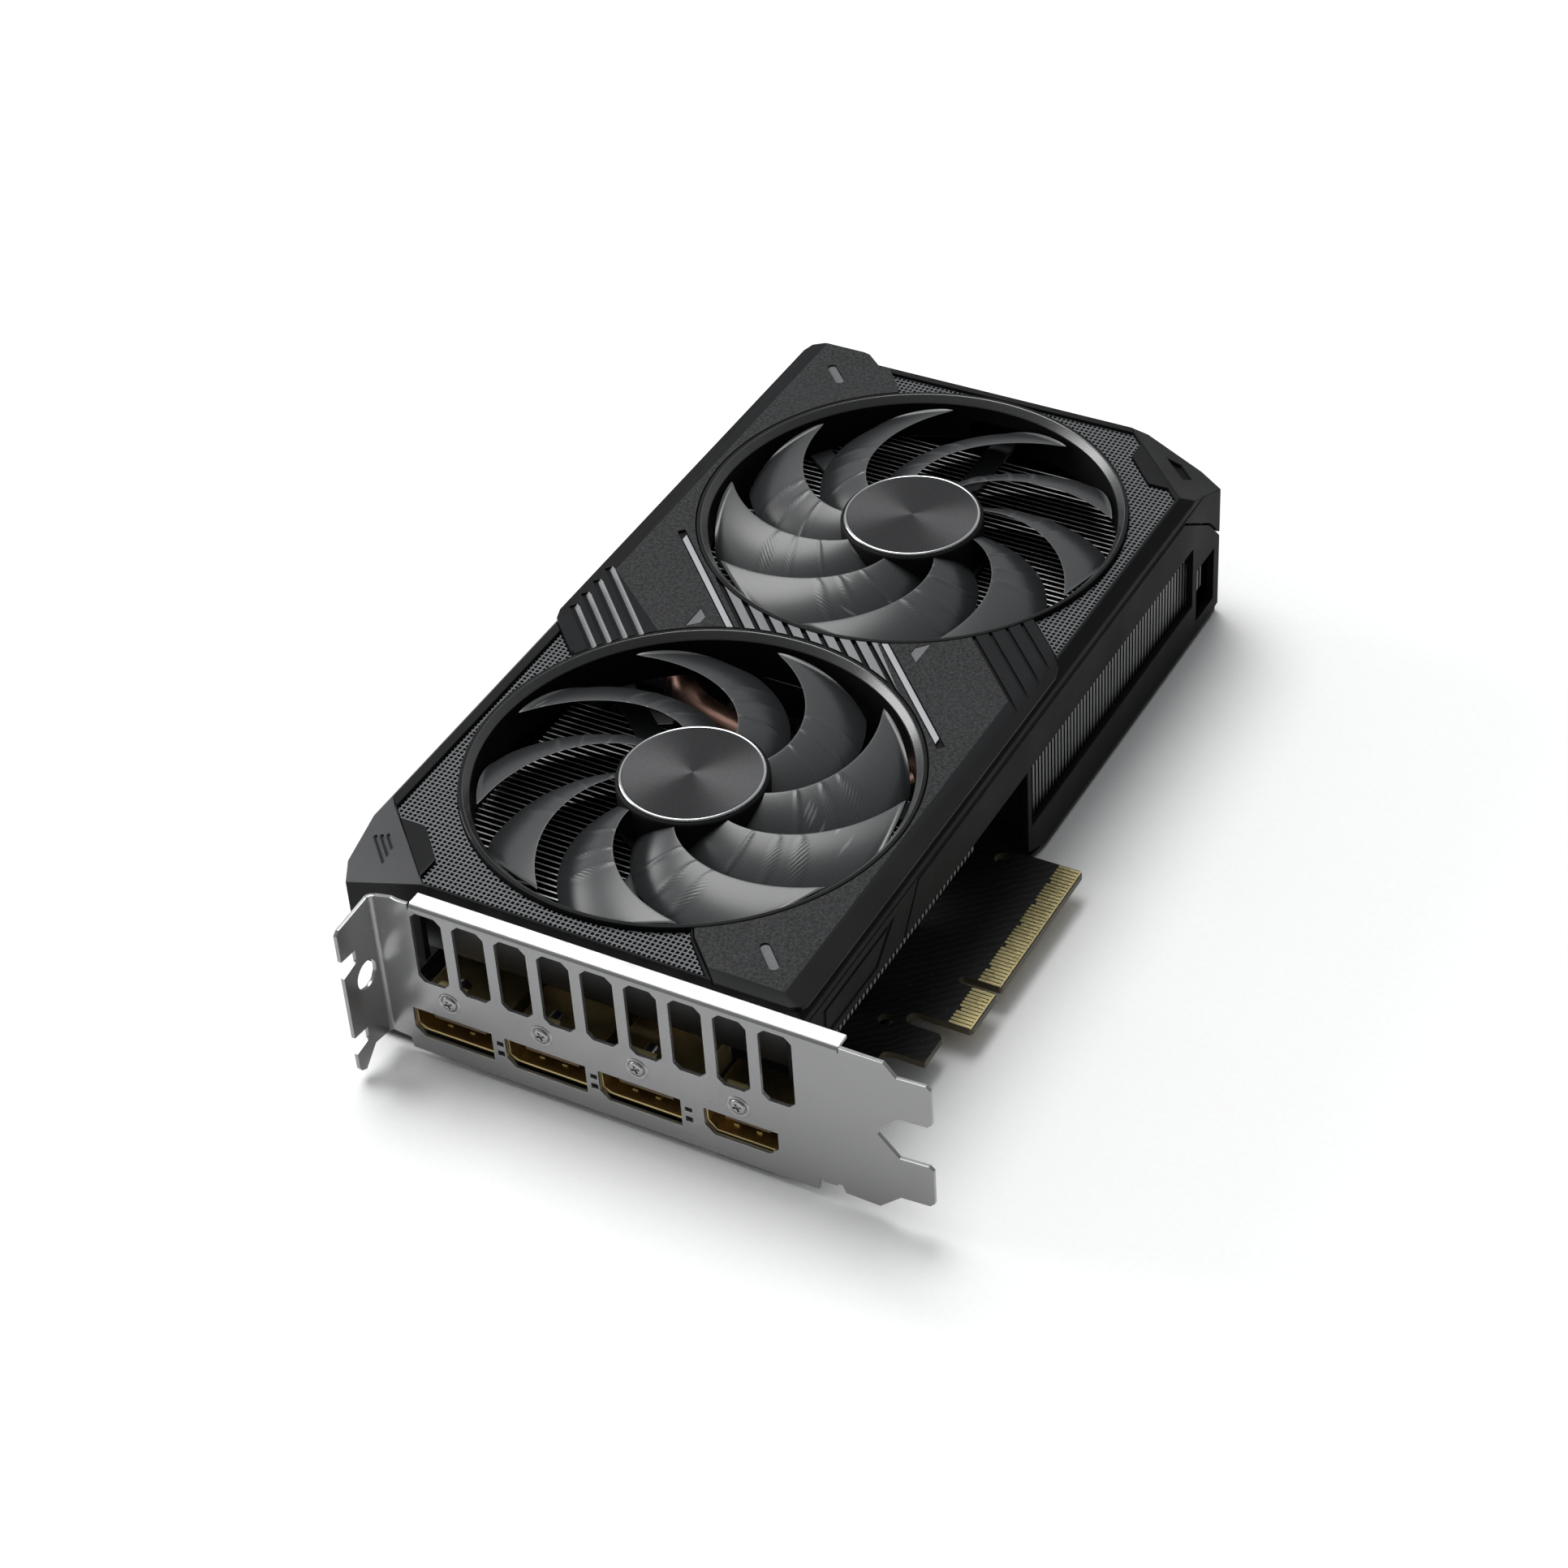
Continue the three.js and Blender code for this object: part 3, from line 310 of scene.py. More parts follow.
# ---------------------------------------------------------------- materials
class Nodes:
    def __init__(self, name):
        self.mat = bpy.data.materials.new(name)
        self.mat.use_nodes = True
        self.t = self.mat.node_tree
        self.t.nodes.clear()
        self.out = self.t.nodes.new("ShaderNodeOutputMaterial")
        self.bsdf = self.t.nodes.new("ShaderNodeBsdfPrincipled")
        self.t.links.new(self.bsdf.outputs[0], self.out.inputs[0])
        self.co = self.t.nodes.new("ShaderNodeTexCoord").outputs["Object"]
        self.bump = None

    def new(self, kind, **inputs):
        n = self.t.nodes.new(kind)
        for k, v in inputs.items():
            if k in n.inputs:
                self.feed(n.inputs[k], v)
            else:
                setattr(n, k, v)
        return n

    def feed(self, socket, v):
        if isinstance(v, bpy.types.NodeSocket):
            self.t.links.new(v, socket)
        else:
            socket.default_value = v

    def noise(self, scale, detail=2.0, rough=0.5, co=None, distort=0.0):
        n = self.t.nodes.new("ShaderNodeTexNoise")
        n.inputs["Scale"].default_value = scale
        n.inputs["Detail"].default_value = detail
        n.inputs["Roughness"].default_value = rough
        n.inputs["Distortion"].default_value = distort
        self.t.links.new(co or self.co, n.inputs["Vector"])
        return n.outputs[0]

    def stretched(self, sx, sy, sz):
        m = self.t.nodes.new("ShaderNodeMapping")
        m.inputs["Scale"].default_value = (sx, sy, sz)
        self.t.links.new(self.co, m.inputs["Vector"])
        return m.outputs[0]

    def ramp(self, fac, stops):
        r = self.t.nodes.new("ShaderNodeValToRGB")
        e = r.color_ramp.elements
        while len(e) < len(stops):
            e.new(0.5)
        for i, (p, c) in enumerate(stops):
            e[i].position = p
            e[i].color = (*c, 1) if isinstance(c, (list, tuple)) else (c, c, c, 1)
        self.t.links.new(fac, r.inputs[0])
        return r.outputs[0]

    def span(self, fac, lo, hi, a=0.0, b=1.0):
        m = self.t.nodes.new("ShaderNodeMapRange")
        m.inputs[1].default_value, m.inputs[2].default_value = a, b
        m.inputs[3].default_value, m.inputs[4].default_value = lo, hi
        self.t.links.new(fac, m.inputs[0])
        return m.outputs[0]

    def mix(self, fac, a, b, blend="MIX"):
        m = self.t.nodes.new("ShaderNodeMix")
        m.data_type, m.blend_type = "RGBA", blend
        self.feed(m.inputs[0], fac)
        for i, v in ((6, a), (7, b)):
            self.feed(m.inputs[i], v if isinstance(v, bpy.types.NodeSocket) else (*v, 1))
        return m.outputs[2]

    def math(self, op, a, b=0.0):
        m = self.t.nodes.new("ShaderNodeMath")
        m.operation = op
        self.feed(m.inputs[0], a)
        self.feed(m.inputs[1], b)
        return m.outputs[0]

    def relief(self, height, mm, strength=1.0):
        b = self.t.nodes.new("ShaderNodeBump")
        b.inputs["Strength"].default_value = strength
        b.inputs["Distance"].default_value = mm * 0.001
        self.t.links.new(height, b.inputs["Height"])
        if self.bump is not None:
            self.t.links.new(self.bump, b.inputs["Normal"])
        self.bump = b.outputs[0]

    # lighter colour on convex edges, read from pointiness: partly edge wear, partly a painted highlight
    def edges(self, amount=0.25):
        g = self.t.nodes.new("ShaderNodeNewGeometry")
        return self.span(g.outputs["Pointiness"], 0.0, amount, 0.51, 0.60)

    def done(self, colour, rough, metal=0.0, **more):
        for k, v in {"Base Color": colour, "Roughness": rough, "Metallic": metal, **more}.items():
            if isinstance(v, (list, tuple)) and len(v) == 3:
                v = (*v, 1)
            self.feed(self.bsdf.inputs[k], v)
        if self.bump is not None:
            self.t.links.new(self.bump, self.bsdf.inputs["Normal"])
        return self.mat


def moulded(name, base, rough=0.5, grain=0.25, depth=0.010, edge_wear_and_highlight=0.3, spec=0.18, speckle=0.25):
    """Moulded plastic: etched grain, slow gloss variation, and edges painted lighter, partly as polish from handling
    and partly as a painted highlight.
    """
    n = Nodes(name)
    fine = n.noise(1000.0 / grain, 3, 0.6)
    slow = n.noise(55, 3, 0.55)
    dark = tuple(c * (1 - speckle) for c in base)
    light = tuple(c * (1 + speckle) + 0.002 for c in base)
    col = n.mix(n.span(fine, 0, 1, 0.35, 0.65), dark, light)
    col = n.mix(n.span(slow, 0.0, 0.22, 0.35, 0.7), col, tuple(c * 1.35 for c in base))
    # edges painted lighter: partly wear from handling, partly a painted highlight
    col = n.mix(n.edges(edge_wear_and_highlight), col, tuple(c * 2.6 + 0.01 for c in base))
    r = n.math("ADD", n.span(slow, rough - 0.05, rough + 0.06, 0.3, 0.7), n.span(fine, -0.05, 0.05, 0.3, 0.7))
    n.relief(slow, 0.02, 0.25)
    n.relief(fine, depth, 0.9)
    return n.done(col, r, 0.0, **{"Specular IOR Level": spec})


def sheet(name, base, rough=0.28, depth=0.004, dirs=(1, 1, 1), scale=2600, edge_wear_and_highlight=0.5, tint=0.12, metal=1.0):
    """Metal: rolled or drawn texture, uneven gloss, and edges painted brighter, partly as wear and partly as a painted
    highlight.
    """
    n = Nodes(name)
    fine = n.noise(scale, 4, 0.6, n.stretched(*dirs))
    slow = n.noise(40, 4, 0.6)
    col = n.mix(n.span(slow, 0, 1, 0.3, 0.7), tuple(c * (1 - tint) for c in base), tuple(min(1, c * (1 + tint)) for c in base))
    # edges painted brighter: partly wear, partly a painted highlight
    col = n.mix(n.edges(edge_wear_and_highlight), col, tuple(min(1, c * 1.5 + 0.05) for c in base))
    r = n.math("ADD", n.span(slow, rough - 0.04, rough + 0.05, 0.3, 0.7), n.span(fine, -0.03, 0.03, 0.3, 0.7))
    n.relief(fine, depth, 0.5)
    return n.done(col, r, metal)


M = {}
M["shroud"] = moulded("shroud_plastic", (0.0068, 0.0071, 0.0077), 0.50, 0.22, 0.012, spec=0.08)
# darker copy of the shroud plastic: painted shade on walls turned away from the light
M["side"] = moulded("shaded_side_plastic", (0.0038, 0.0040, 0.0043), 0.55, 0.2, 0.01, spec=0.06)
# corner facets painted lighter than the shroud plastic: painted light from the side lamp
M["facet"] = moulded("lit_facet_plastic", (0.026, 0.027, 0.029), 0.46, 0.22, 0.012, spec=0.2)
M["rim"] = moulded("rim_plastic", (0.012, 0.0125, 0.013), 0.42, 0.25, 0.008)
M["band"] = moulded("band_plastic", (0.0055, 0.0060, 0.0066), 0.46, 0.20, 0.006, spec=0.08)
M["rib"] = moulded("rib_plastic", (0.165, 0.170, 0.175), 0.42, 0.22, 0.006, spec=0.3)
# near-black plastic for groove floors, rib flanks and the rotor hub: painted shade in recesses and under the cap
M["groove"] = moulded("groove_plastic", (0.004, 0.004, 0.0045), 0.6, 0.25, 0.01, spec=0.1)
M["back"] = moulded("back_plastic", (0.009, 0.0095, 0.010), 0.42, 0.2, 0.008)
M["mesh"] = moulded("mesh_plastic", (0.085, 0.088, 0.092), 0.38, 0.3, 0.006, spec=0.5)
# fan supports coloured light grey for the light that falls on them: painted light
M["arm"] = moulded("arm_plastic", (0.05, 0.052, 0.055), 0.42, 0.3, 0.01, spec=0.4)
M["clip"] = moulded("clip_plastic", (0.030, 0.031, 0.033), 0.42, 0.2, 0.006, spec=0.5)
M["conn"] = moulded("connector_plastic", (0.008, 0.008, 0.009), 0.45, 0.2, 0.006)
M["chip"] = moulded("chip_resin", (0.016, 0.016, 0.017), 0.55, 0.12, 0.01)
M["accent"] = sheet("accent_paint", (0.30, 0.31, 0.32), 0.42, 0.006, (1, 1, 1), 3500, 0.4, 0.08, 0.15)
M["bracket"] = sheet("bracket_steel", (0.29, 0.29, 0.293), 0.22, 0.00015, (1, 0.3, 1), 2600, 0.15, 0.02, 0.62)
# near-white copy of the bracket steel for the lip top: a painted highlight
M["bend"] = sheet("lip_highlight_steel", (0.80, 0.80, 0.81), 0.24, 0.0004, (1, 0.3, 1), 2600, 0.5, 0.03)
M["screw"] = sheet("screw_steel", (0.30, 0.30, 0.305), 0.30, 0.006, (1, 1, 1), 3800, 0.6, 0.08)
M["gold"] = sheet("socket_gold", (0.80, 0.62, 0.30), 0.34, 0.006, (1, 1, 0.3), 2400, 0.4, 0.14)
M["pad_gold"] = sheet("contact_gold", (0.80, 0.62, 0.30), 0.28, 0.004, (1, 0.2, 1), 4200, 0.3, 0.10)
M["copper"] = sheet("copper", (0.50, 0.29, 0.225), 0.38, 0.03, (1, 1, 1), 2200, 0.4, 0.30, 0.85)
M["nickel"] = sheet("nickel", (0.55, 0.54, 0.52), 0.26, 0.004, (0.2, 1, 1), 2600, 0.5, 0.08)
# fin faces painted dark: painted shade
M["fin"] = sheet("shaded_fin_sheet", (0.035, 0.036, 0.038), 0.42, 0.006, (1, 0.12, 1), 2600, 0.6, 0.12)
M["capm"] = sheet("can_metal", (0.5, 0.5, 0.51), 0.3, 0.004, (1, 1, 0.2), 3000, 0.4, 0.1)
M["die"] = sheet("die_silicon", (0.16, 0.18, 0.22), 0.12, 0.001, (1, 1, 1), 4000, 0.2, 0.2, 0.6)
M["laminate"] = moulded("laminate_edge", (0.52, 0.43, 0.20), 0.55, 0.12, 0.02, 0.1)
M["chamfer"] = moulded("rim_chamfer", (0.014, 0.0145, 0.015), 0.26, 0.2, 0.004, spec=1.0)
M["tongue"] = moulded("tongue_plastic", (0.075, 0.045, 0.018), 0.35, 0.2, 0.006, spec=0.5)
M["pad"] = moulded("gap_pad", (0.30, 0.32, 0.34), 0.7, 0.5, 0.05, 0.1)


def cover_grain():
    n = Nodes("cover_grain")
    a = n.noise(1500, 4, 0.8)
    b = n.noise(2600, 2, 0.6)
    slow = n.noise(45, 3, 0.5)
    col = n.mix(n.span(a, 0, 1, 0.42, 0.60), (0.0012, 0.0013, 0.0015), (0.024, 0.025, 0.0265))
    col = n.mix(n.span(b, 0, 0.5, 0.58, 0.74), col, (0.085, 0.087, 0.090))
    col = n.mix(n.span(slow, 0, 0.2, 0.4, 0.7), col, (0.026, 0.027, 0.029))
    n.relief(slow, 0.02, 0.2)
    n.relief(a, 0.045, 0.8)
    n.relief(b, 0.02, 0.6)
    return n.done(col, n.span(a, 0.62, 0.46, 0.3, 0.7), 0.0, **{"Specular IOR Level": 0.2})


M["grain"] = cover_grain()


def blade_mat():
    n = Nodes("blade_plastic")
    a = n.noise(2400, 3, 0.6)
    slow = n.noise(30, 3, 0.5)
    col = n.mix(n.span(a, 0, 1, 0.3, 0.7), (0.020, 0.0212, 0.0222), (0.030, 0.0315, 0.033))
    # blade edges painted light grey: a painted highlight
    col = n.mix(n.edges(0.6), col, (0.16, 0.165, 0.17))
    n.relief(slow, 0.05, 0.15)
    n.relief(a, 0.006, 0.6)
    return n.done(col, n.span(slow, 0.30, 0.36, 0.3, 0.7), 0.1, **{"Specular IOR Level": 0.75})


M["blade"] = blade_mat()


def cap_mat():
    n = Nodes("hub_cap_metal")
    t = n.t.nodes.new("ShaderNodeTangent")
    t.direction_type, t.axis = "RADIAL", "Z"
    slow = n.noise(60, 3, 0.5)
    fine = n.noise(5200, 2, 0.5)
    col = n.mix(n.span(fine, 0, 1, 0.3, 0.7), (0.035, 0.035, 0.036), (0.06, 0.06, 0.062))
    n.relief(fine, 0.003, 0.5)
    n.t.links.new(t.outputs[0], n.bsdf.inputs["Tangent"])
    return n.done(col, n.span(slow, 0.28, 0.34, 0.3, 0.7), 0.9, Anisotropic=0.85)


M["cap"] = cap_mat()
M["cap_edge"] = sheet("cap_edge_metal", (0.48, 0.49, 0.50), 0.20, 0.003, (1, 1, 1), 4000, 0.2, 0.05)


def board_mat():
    """Black solder mask over copper: tracks, small vias and the weave of the laminate."""
    n = Nodes("board_mask")
    wave = n.t.nodes.new("ShaderNodeTexWave")
    wave.wave_type, wave.bands_direction = "BANDS", "DIAGONAL"
    wave.inputs["Scale"].default_value = 260
    wave.inputs["Distortion"].default_value = 3.0
    wave.inputs["Detail"].default_value = 0
    n.t.links.new(n.co, wave.inputs["Vector"])
    v = n.t.nodes.new("ShaderNodeTexVoronoi")
    v.inputs["Scale"].default_value = 420
    n.t.links.new(n.co, v.inputs["Vector"])
    fine = n.noise(2500, 3, 0.6)
    track = n.span(wave.outputs[1], 0, 1, 0.55, 0.75)
    via = n.span(v.outputs[0], 1, 0, 0.05, 0.12)
    col = n.mix(track, (0.006, 0.006, 0.007), (0.013, 0.013, 0.013))
    col = n.mix(via, col, (0.05, 0.045, 0.03))
    g = n.t.nodes.new("ShaderNodeNewGeometry")
    sep = n.t.nodes.new("ShaderNodeSeparateXYZ")
    n.t.links.new(g.outputs["True Normal"], sep.inputs[0])
    flat = n.span(n.math("ABSOLUTE", sep.outputs[2]), 0, 1, 0.55, 0.65)
    col = n.mix(flat, (0.075, 0.062, 0.036), col)
    n.relief(track, 0.02, 0.3)
    n.relief(fine, 0.004, 0.5)
    return n.done(col, n.span(fine, 0.34, 0.46, 0.3, 0.7), 0.0, **{"Specular IOR Level": 0.25})


M["board"] = board_mat()


# ---------------------------------------------------------------- shroud
def ring_tool(i, r, z0, z1):
    return prism(circle(FAN_X[i], FAN_Y, r), z0, z1)


def lowered(f, d):
    return [(p[0], p[1], p[2] - d) for p in f]


def build_shroud():
    tail_zone = prism([(174, 20), (215, 20), (215, 56)], 0, 60)
    front_zone = prism([(-5, 107), (29.5, 141), (-5, 141)], 0, 60)
    tail = meet(wedge(*TAIL_FACET), block(170, 215, 20, 60, 0, 60))
    front = meet(wedge(*FRONT_FACET), block(-5, 35, 100, 145, 0, 60))
    body = prism(PLAN, 13.8, ROOF)
    # long outer top edges fall away before they reach the cover
    body = cut(body, prism([(26.0, 31.8), (27.9, 31.8), (30.1, 34.2), (31.2, 35.5), (26, 35.5)], -10, 230, "x"))
    body = cut(body, prism([(133.5, 31.8), (131.9, 31.8), (129.8, 34.2), (128.6, 35.5), (133.5, 35.5)], -10, 230, "x"))
    body = cut(body, prism([(204.0, 31.4), (202.8, 31.4), (200.4, 34.2), (199.4, 35.5), (204, 35.5)], 10, 150, "y"))
    body = cut(body, tail, front)
    hollow = prism(inset(PLAN, 1.6), 8.8, ROOF - 2.4)
    hollow = cut(hollow, meet(wedge(*lowered(TAIL_FACET, 2.4)), block(165, 215, 20, 60, 0, 60)),
                 meet(wedge(*lowered(FRONT_FACET, 2.4)), block(-5, 40, 98, 145, 0, 60)))
    body = cut(body, hollow)
    for i in (0, 1):
        body = join(body, ring_tool(i, RIM_R + 1.1, 24.3, TOP))
    for i in (0, 1):
        body = cut(body, ring_tool(i, RING_R, 10, 40))
        body = cut(body, lathe([(0, TOP - 1.5), (RING_R, TOP - 1.5), (RIM_R + 0.22, TOP + 0.02), (RIM_R + 0.22, 40), (0, 40)],
                               FAN_X[i], FAN_Y))
    for pts in (MESH_FRONT, MESH_REAR):
        tool = prism(pts, ROOF - 1.4, 40)
        tool = cut(tool, ring_tool(0, RIM_R + 1.1, 0, 50), ring_tool(1, RIM_R + 1.1, 0, 50))
        body = cut(body, tool)
    seat = prism(COVER, ROOF - 1.0, 40)
    seat = cut(seat, ring_tool(0, RIM_R + 1.1, 0, 50), ring_tool(1, RIM_R + 1.1, 0, 50))
    body = cut(body, seat)
    body = cut(body, prism([(51.0, SEAM), (178.0, SEAM), (192.0, 20.4), (199.0, 13.0), (199.0, 0), (44.0, 0), (44.0, 19.3)], 20, 29.8, "y"))
    body = cut(body, prism([(96.0, SEAM), (210.0, SEAM), (210.0, 0), (96.0, 0)], 130, 140, "y"))
    body = join(body, block(11.0, 98.8, 130.3, 131.9, 1.6, 14.6))
    body = join(body, block(60.0, 98.6, 121.7, 130.8, 10.5, 12.0))
    body = cut(body, block(195, 215, 52.7, 140, 0, SEAM), block(0, 60, 20, 29.8, 0, 19.3), block(71.5, 93.7, 126, 140, 0, 10.4),
               block(0, 8.4, 32, 112, 0, 31.2))
    # a fine step runs along the connector side, and a pressed panel sits above the open fins
    body = cut(body, prism([(27.0, 29.9), (28.15, 29.9), (28.15, 30.15), (27.0, 30.15)], 5.0, 190.0, "x"))
    body = cut(body, prism([(131.75, 29.9), (133.0, 29.9), (133.0, 30.15), (131.75, 30.15)], 32.0, 196.0, "x"))
    body = cut(body, prism([(12, 21.2), (33.5, 21.2), (41.0, 28.0), (12, 28.0)], 27.0, 28.25, "y"))
    inner = prism([(13.2, 22.2), (33.0, 22.2), (38.5, 27.2), (13.2, 27.2)], 27.9, 29.0, "y")
    body = join(body, inner)
    # three short grooves on the front corner facet, a shallow dent on the tail one
    n = (Vector(FRONT_FACET[1]) - Vector(FRONT_FACET[0])).cross(Vector(FRONT_FACET[2]) - Vector(FRONT_FACET[0])).normalized()
    n = n if n.z > 0 else -n
    c = sum((Vector(p) for p in FRONT_FACET), Vector()) / 3
    u = (Vector(FRONT_FACET[1]) - Vector(FRONT_FACET[0])).normalized()
    v = n.cross(u)
    for k, ln in ((-1, 2.2), (0, 3.2), (1, 4.2)):
        m = c + v * (k * 1.3) + v * 0.3
        verts = [m + u * a * ln + v * b * 0.32 + n * d for d in (-0.45, 2) for a, b in ((-1, -1), (1, -1), (1, 1), (-1, 1))]
        body = cut(body, outward(mesh_of(verts, [[0, 1, 2, 3], [4, 5, 6, 7], [0, 1, 5, 4], [1, 2, 6, 5], [2, 3, 7, 6], [3, 0, 4, 7]])))
    n = (Vector(TAIL_FACET[1]) - Vector(TAIL_FACET[0])).cross(Vector(TAIL_FACET[2]) - Vector(TAIL_FACET[0])).normalized()
    n = n if n.z > 0 else -n
    c = sum((Vector(p) for p in TAIL_FACET), Vector()) / 3
    u = (Vector(TAIL_FACET[0]) - Vector(TAIL_FACET[1])).normalized()
    v = n.cross(u)
    c += u * 1.0 - v * 1.4
    verts = [c + u * a + v * b + n * d for d in (-0.9, 3) for a, b in ((-4.6, 1.7), (4.2, 1.7), (2.6, -1.6), (-3.2, -1.6))]
    body = cut(body, outward(mesh_of(verts, [[0, 1, 2, 3], [4, 5, 6, 7], [0, 1, 5, 4], [1, 2, 6, 5], [2, 3, 7, 6], [3, 0, 4, 7]])))
    body = tidy(body, 0.22, 3)
    # materials: 0 shell, 1 facet painted lighter as painted light, 2 rim chamfer, 3 ring wall and walls facing −Y
    # painted darker as painted shade
    for p in body.polygons:
        x, y, z = p.center
        nx, ny, nz = p.normal
        slot = 0
        # corner facet faces take the lighter facet plastic: painted light
        if x < 26 and y > 108 and 0.3 < nz < 0.97 and z > 27.5:
            slot = 1
        for fx in FAN_X:
            r = math.hypot(x - fx, y - FAN_Y)
            if RING_R - 0.1 < r < RIM_R + 0.4 and z > TOP - 1.6 and 0.3 < nz < 0.95:
                slot = 2
            # inner ring walls take the darker side plastic: painted shade
            elif r < RING_R + 0.3 and z < TOP - 1.2 and abs(nz) < 0.3:
                slot = 3
        # walls facing −Y take the darker side plastic: painted shade
        if ny < -0.5 and y < 34 and slot == 0:
            slot = 3
        p.material_index = slot
    piece("shroud", body, "card", [M["shroud"], M["facet"], M["chamfer"], M["side"]], ("shroud_frame",))



build_shroud()


# ---------------------------------------------------------------- diagonal cover
def line45(c, x):
    return (x, x + c)


def build_cover():
    c = prism(inset(COVER, 0.15), ROOF - 0.98, TOP)
    c = cut(c, ring_tool(0, RIM_R + 1.3, 0, 50), ring_tool(1, RIM_R + 1.3, 0, 50))
    # smooth bands fall away along the outer edges
    c = cut(c, prism([(20, 33.95), (28.0, 33.95), (33.0, TOP), (36.0, 35.2), (20, 38)], -10, 230, "x"))
    c = cut(c, prism([(140, 33.95), (131.9, 33.95), (127.5, TOP), (124.5, 35.2), (140, 38)], -10, 230, "x"))
    c = cut(c, prism([(-5, 33.95), (4.9, 33.95), (7.7, TOP), (9.8, 35.2), (-5, 38)], 10, 150, "y"))
    d = 2 ** -0.5
    # accent bar pockets
    for b in BARS:
        c = cut(c, sweep(*b, [(-0.85, TOP - 0.62), (0.85, TOP - 0.62), (0.85, 40), (-0.85, 40)]))
    # ribs between the fans
    for k in range(-4, 5):
        y = 79.9 + k * 4.05 + 0.4
        p = (103.95, y)
        c = cut(c, sweep((p[0] - 10, p[1] - 10), (p[0] + 10, p[1] + 10),
                         [(-0.40, TOP - 0.85), (0.40, TOP - 0.85), (0.45, TOP + 1), (-0.45, TOP + 1)]))
    # grooves with one sloping side near the flange edge
    for (x0, y0), (x1, y1) in (((81.8, 117.8), (93.5, 129.5)), ((84.4, 115.7), (98.2, 129.5)), ((87.1, 113.5), (103.1, 129.5)),
                               ((89.5, 111.0), (108.0, 129.5))):
        c = cut(c, sweep((x0 - 9 * d, y0 - 9 * d), (x1, y1),
                         [(-0.95, TOP - 0.9), (0.1, TOP - 0.9), (1.05, TOP + 0.02), (1.05, 40), (-1.0, 40)]))
    # fine grooves near the connector edge
    for (x0, y0), (x1, y1) in (((99.2, 30.2), (120.3, 51.3)), ((104.2, 30.2), (123.5, 49.5)), ((109.4, 30.2), (126, 46.8)),
                               ((114.4, 30.4), (128, 44))):
        c = cut(c, sweep((x0, y0), (x1, y1), [(-0.36, TOP - 0.75), (0.36, TOP - 0.75), (0.4, 40), (-0.4, 40)]))
    # oblong insets with round ends
    for x, y in ((192.6, 119.8), (15.0, 40.2)):
        pts = []
        for k in range(24):
            a = math.pi / 4 + math.pi * k / 11.5 - math.pi / 2
            e = 2.85 if k < 12 else -2.85
            pts.append((x + e * d + 0.98 * math.cos(a), y + e * d + 0.98 * math.sin(a)))
        c = cut(c, prism(pts, TOP - 0.4, 40))
    # small marks beside the ribs
    for pts in MARKS:
        c = cut(c, prism(list(pts), TOP - 0.14, 40))
    c = tidy(c, 0.11, 2)
    for p in c.polygons:
        x, y, z = p.center
        nx, ny, nz = p.normal
        k = y - x
        flank = abs(nx + ny) < 0.06 and nz < 0.35 and z > 34.02
        slot = 1
        if nz > 0.999 and z > TOP - 0.03:
            slot = 0
            if -41.2 < k < -7.0 and abs(x - 103.95 + y - 79.9) < 42:
                slot = 2
            if (y > 108 and 15.0 < k < 42 and x < 112) or (k < -67.8 and x < 126):
                slot = 1
        elif nz > 0.9 and TOP - 0.5 < z < TOP - 0.1 and any(abs(x - a) < 3.7 and abs(y - b) < 3.7 for a, b in MARK_AT):
            slot = 4
        # groove floors and rib flanks take the near-black plastic: painted shade in the recesses
        elif nz > 0.98 and z < TOP - 0.3 and 33.7 < z:
            slot = 3
        elif flank:
            slot = 3
        elif abs(nx + ny) < 0.06 and 0.4 < nz < 0.95 and k > 10 and z < TOP - 0.1:
            slot = 2
        p.material_index = slot
    piece("diagonal_cover", c, "card", [M["grain"], M["band"], M["rib"], M["groove"], M["mark"]], ("centre_cover",))
    for i, b in enumerate(BARS):
        bar = sweep(*b, [(-0.62, TOP - 0.5), (0.62, TOP - 0.5), (0.62, TOP - 0.02), (-0.62, TOP - 0.02)])
        keep = block(0, 220, 40.2, 120.0, 0, 50)
        bar = cut(meet(bar, keep), ring_tool(0, RIM_R + 1.45, 0, 50), ring_tool(1, RIM_R + 1.45, 0, 50))
        piece(f"accent_strip_{i + 1}", tidy(bar, 0.09, 2), "card", M["accent"], (f"accent_bar_{i + 1}",))


M["mark"] = moulded("mark_plastic", (0.13, 0.133, 0.137), 0.40, 0.2, 0.006)
MARKS = (((96.4, 104.4), (98.7, 102.05), (100.9, 102.05), (103.1, 104.4)), ((104.95, 55.4), (111.7, 55.4), (109.2, 57.75), (107.2, 57.75)))
MARK_AT = ((99.8, 103.4), (108.4, 56.4), (192.6, 119.8), (15.0, 40.2))
BARS = [((97.0, 92.8), (125.5, 121.8)), ((82.6, 38.6), (111.5, 67.5))]
build_cover()


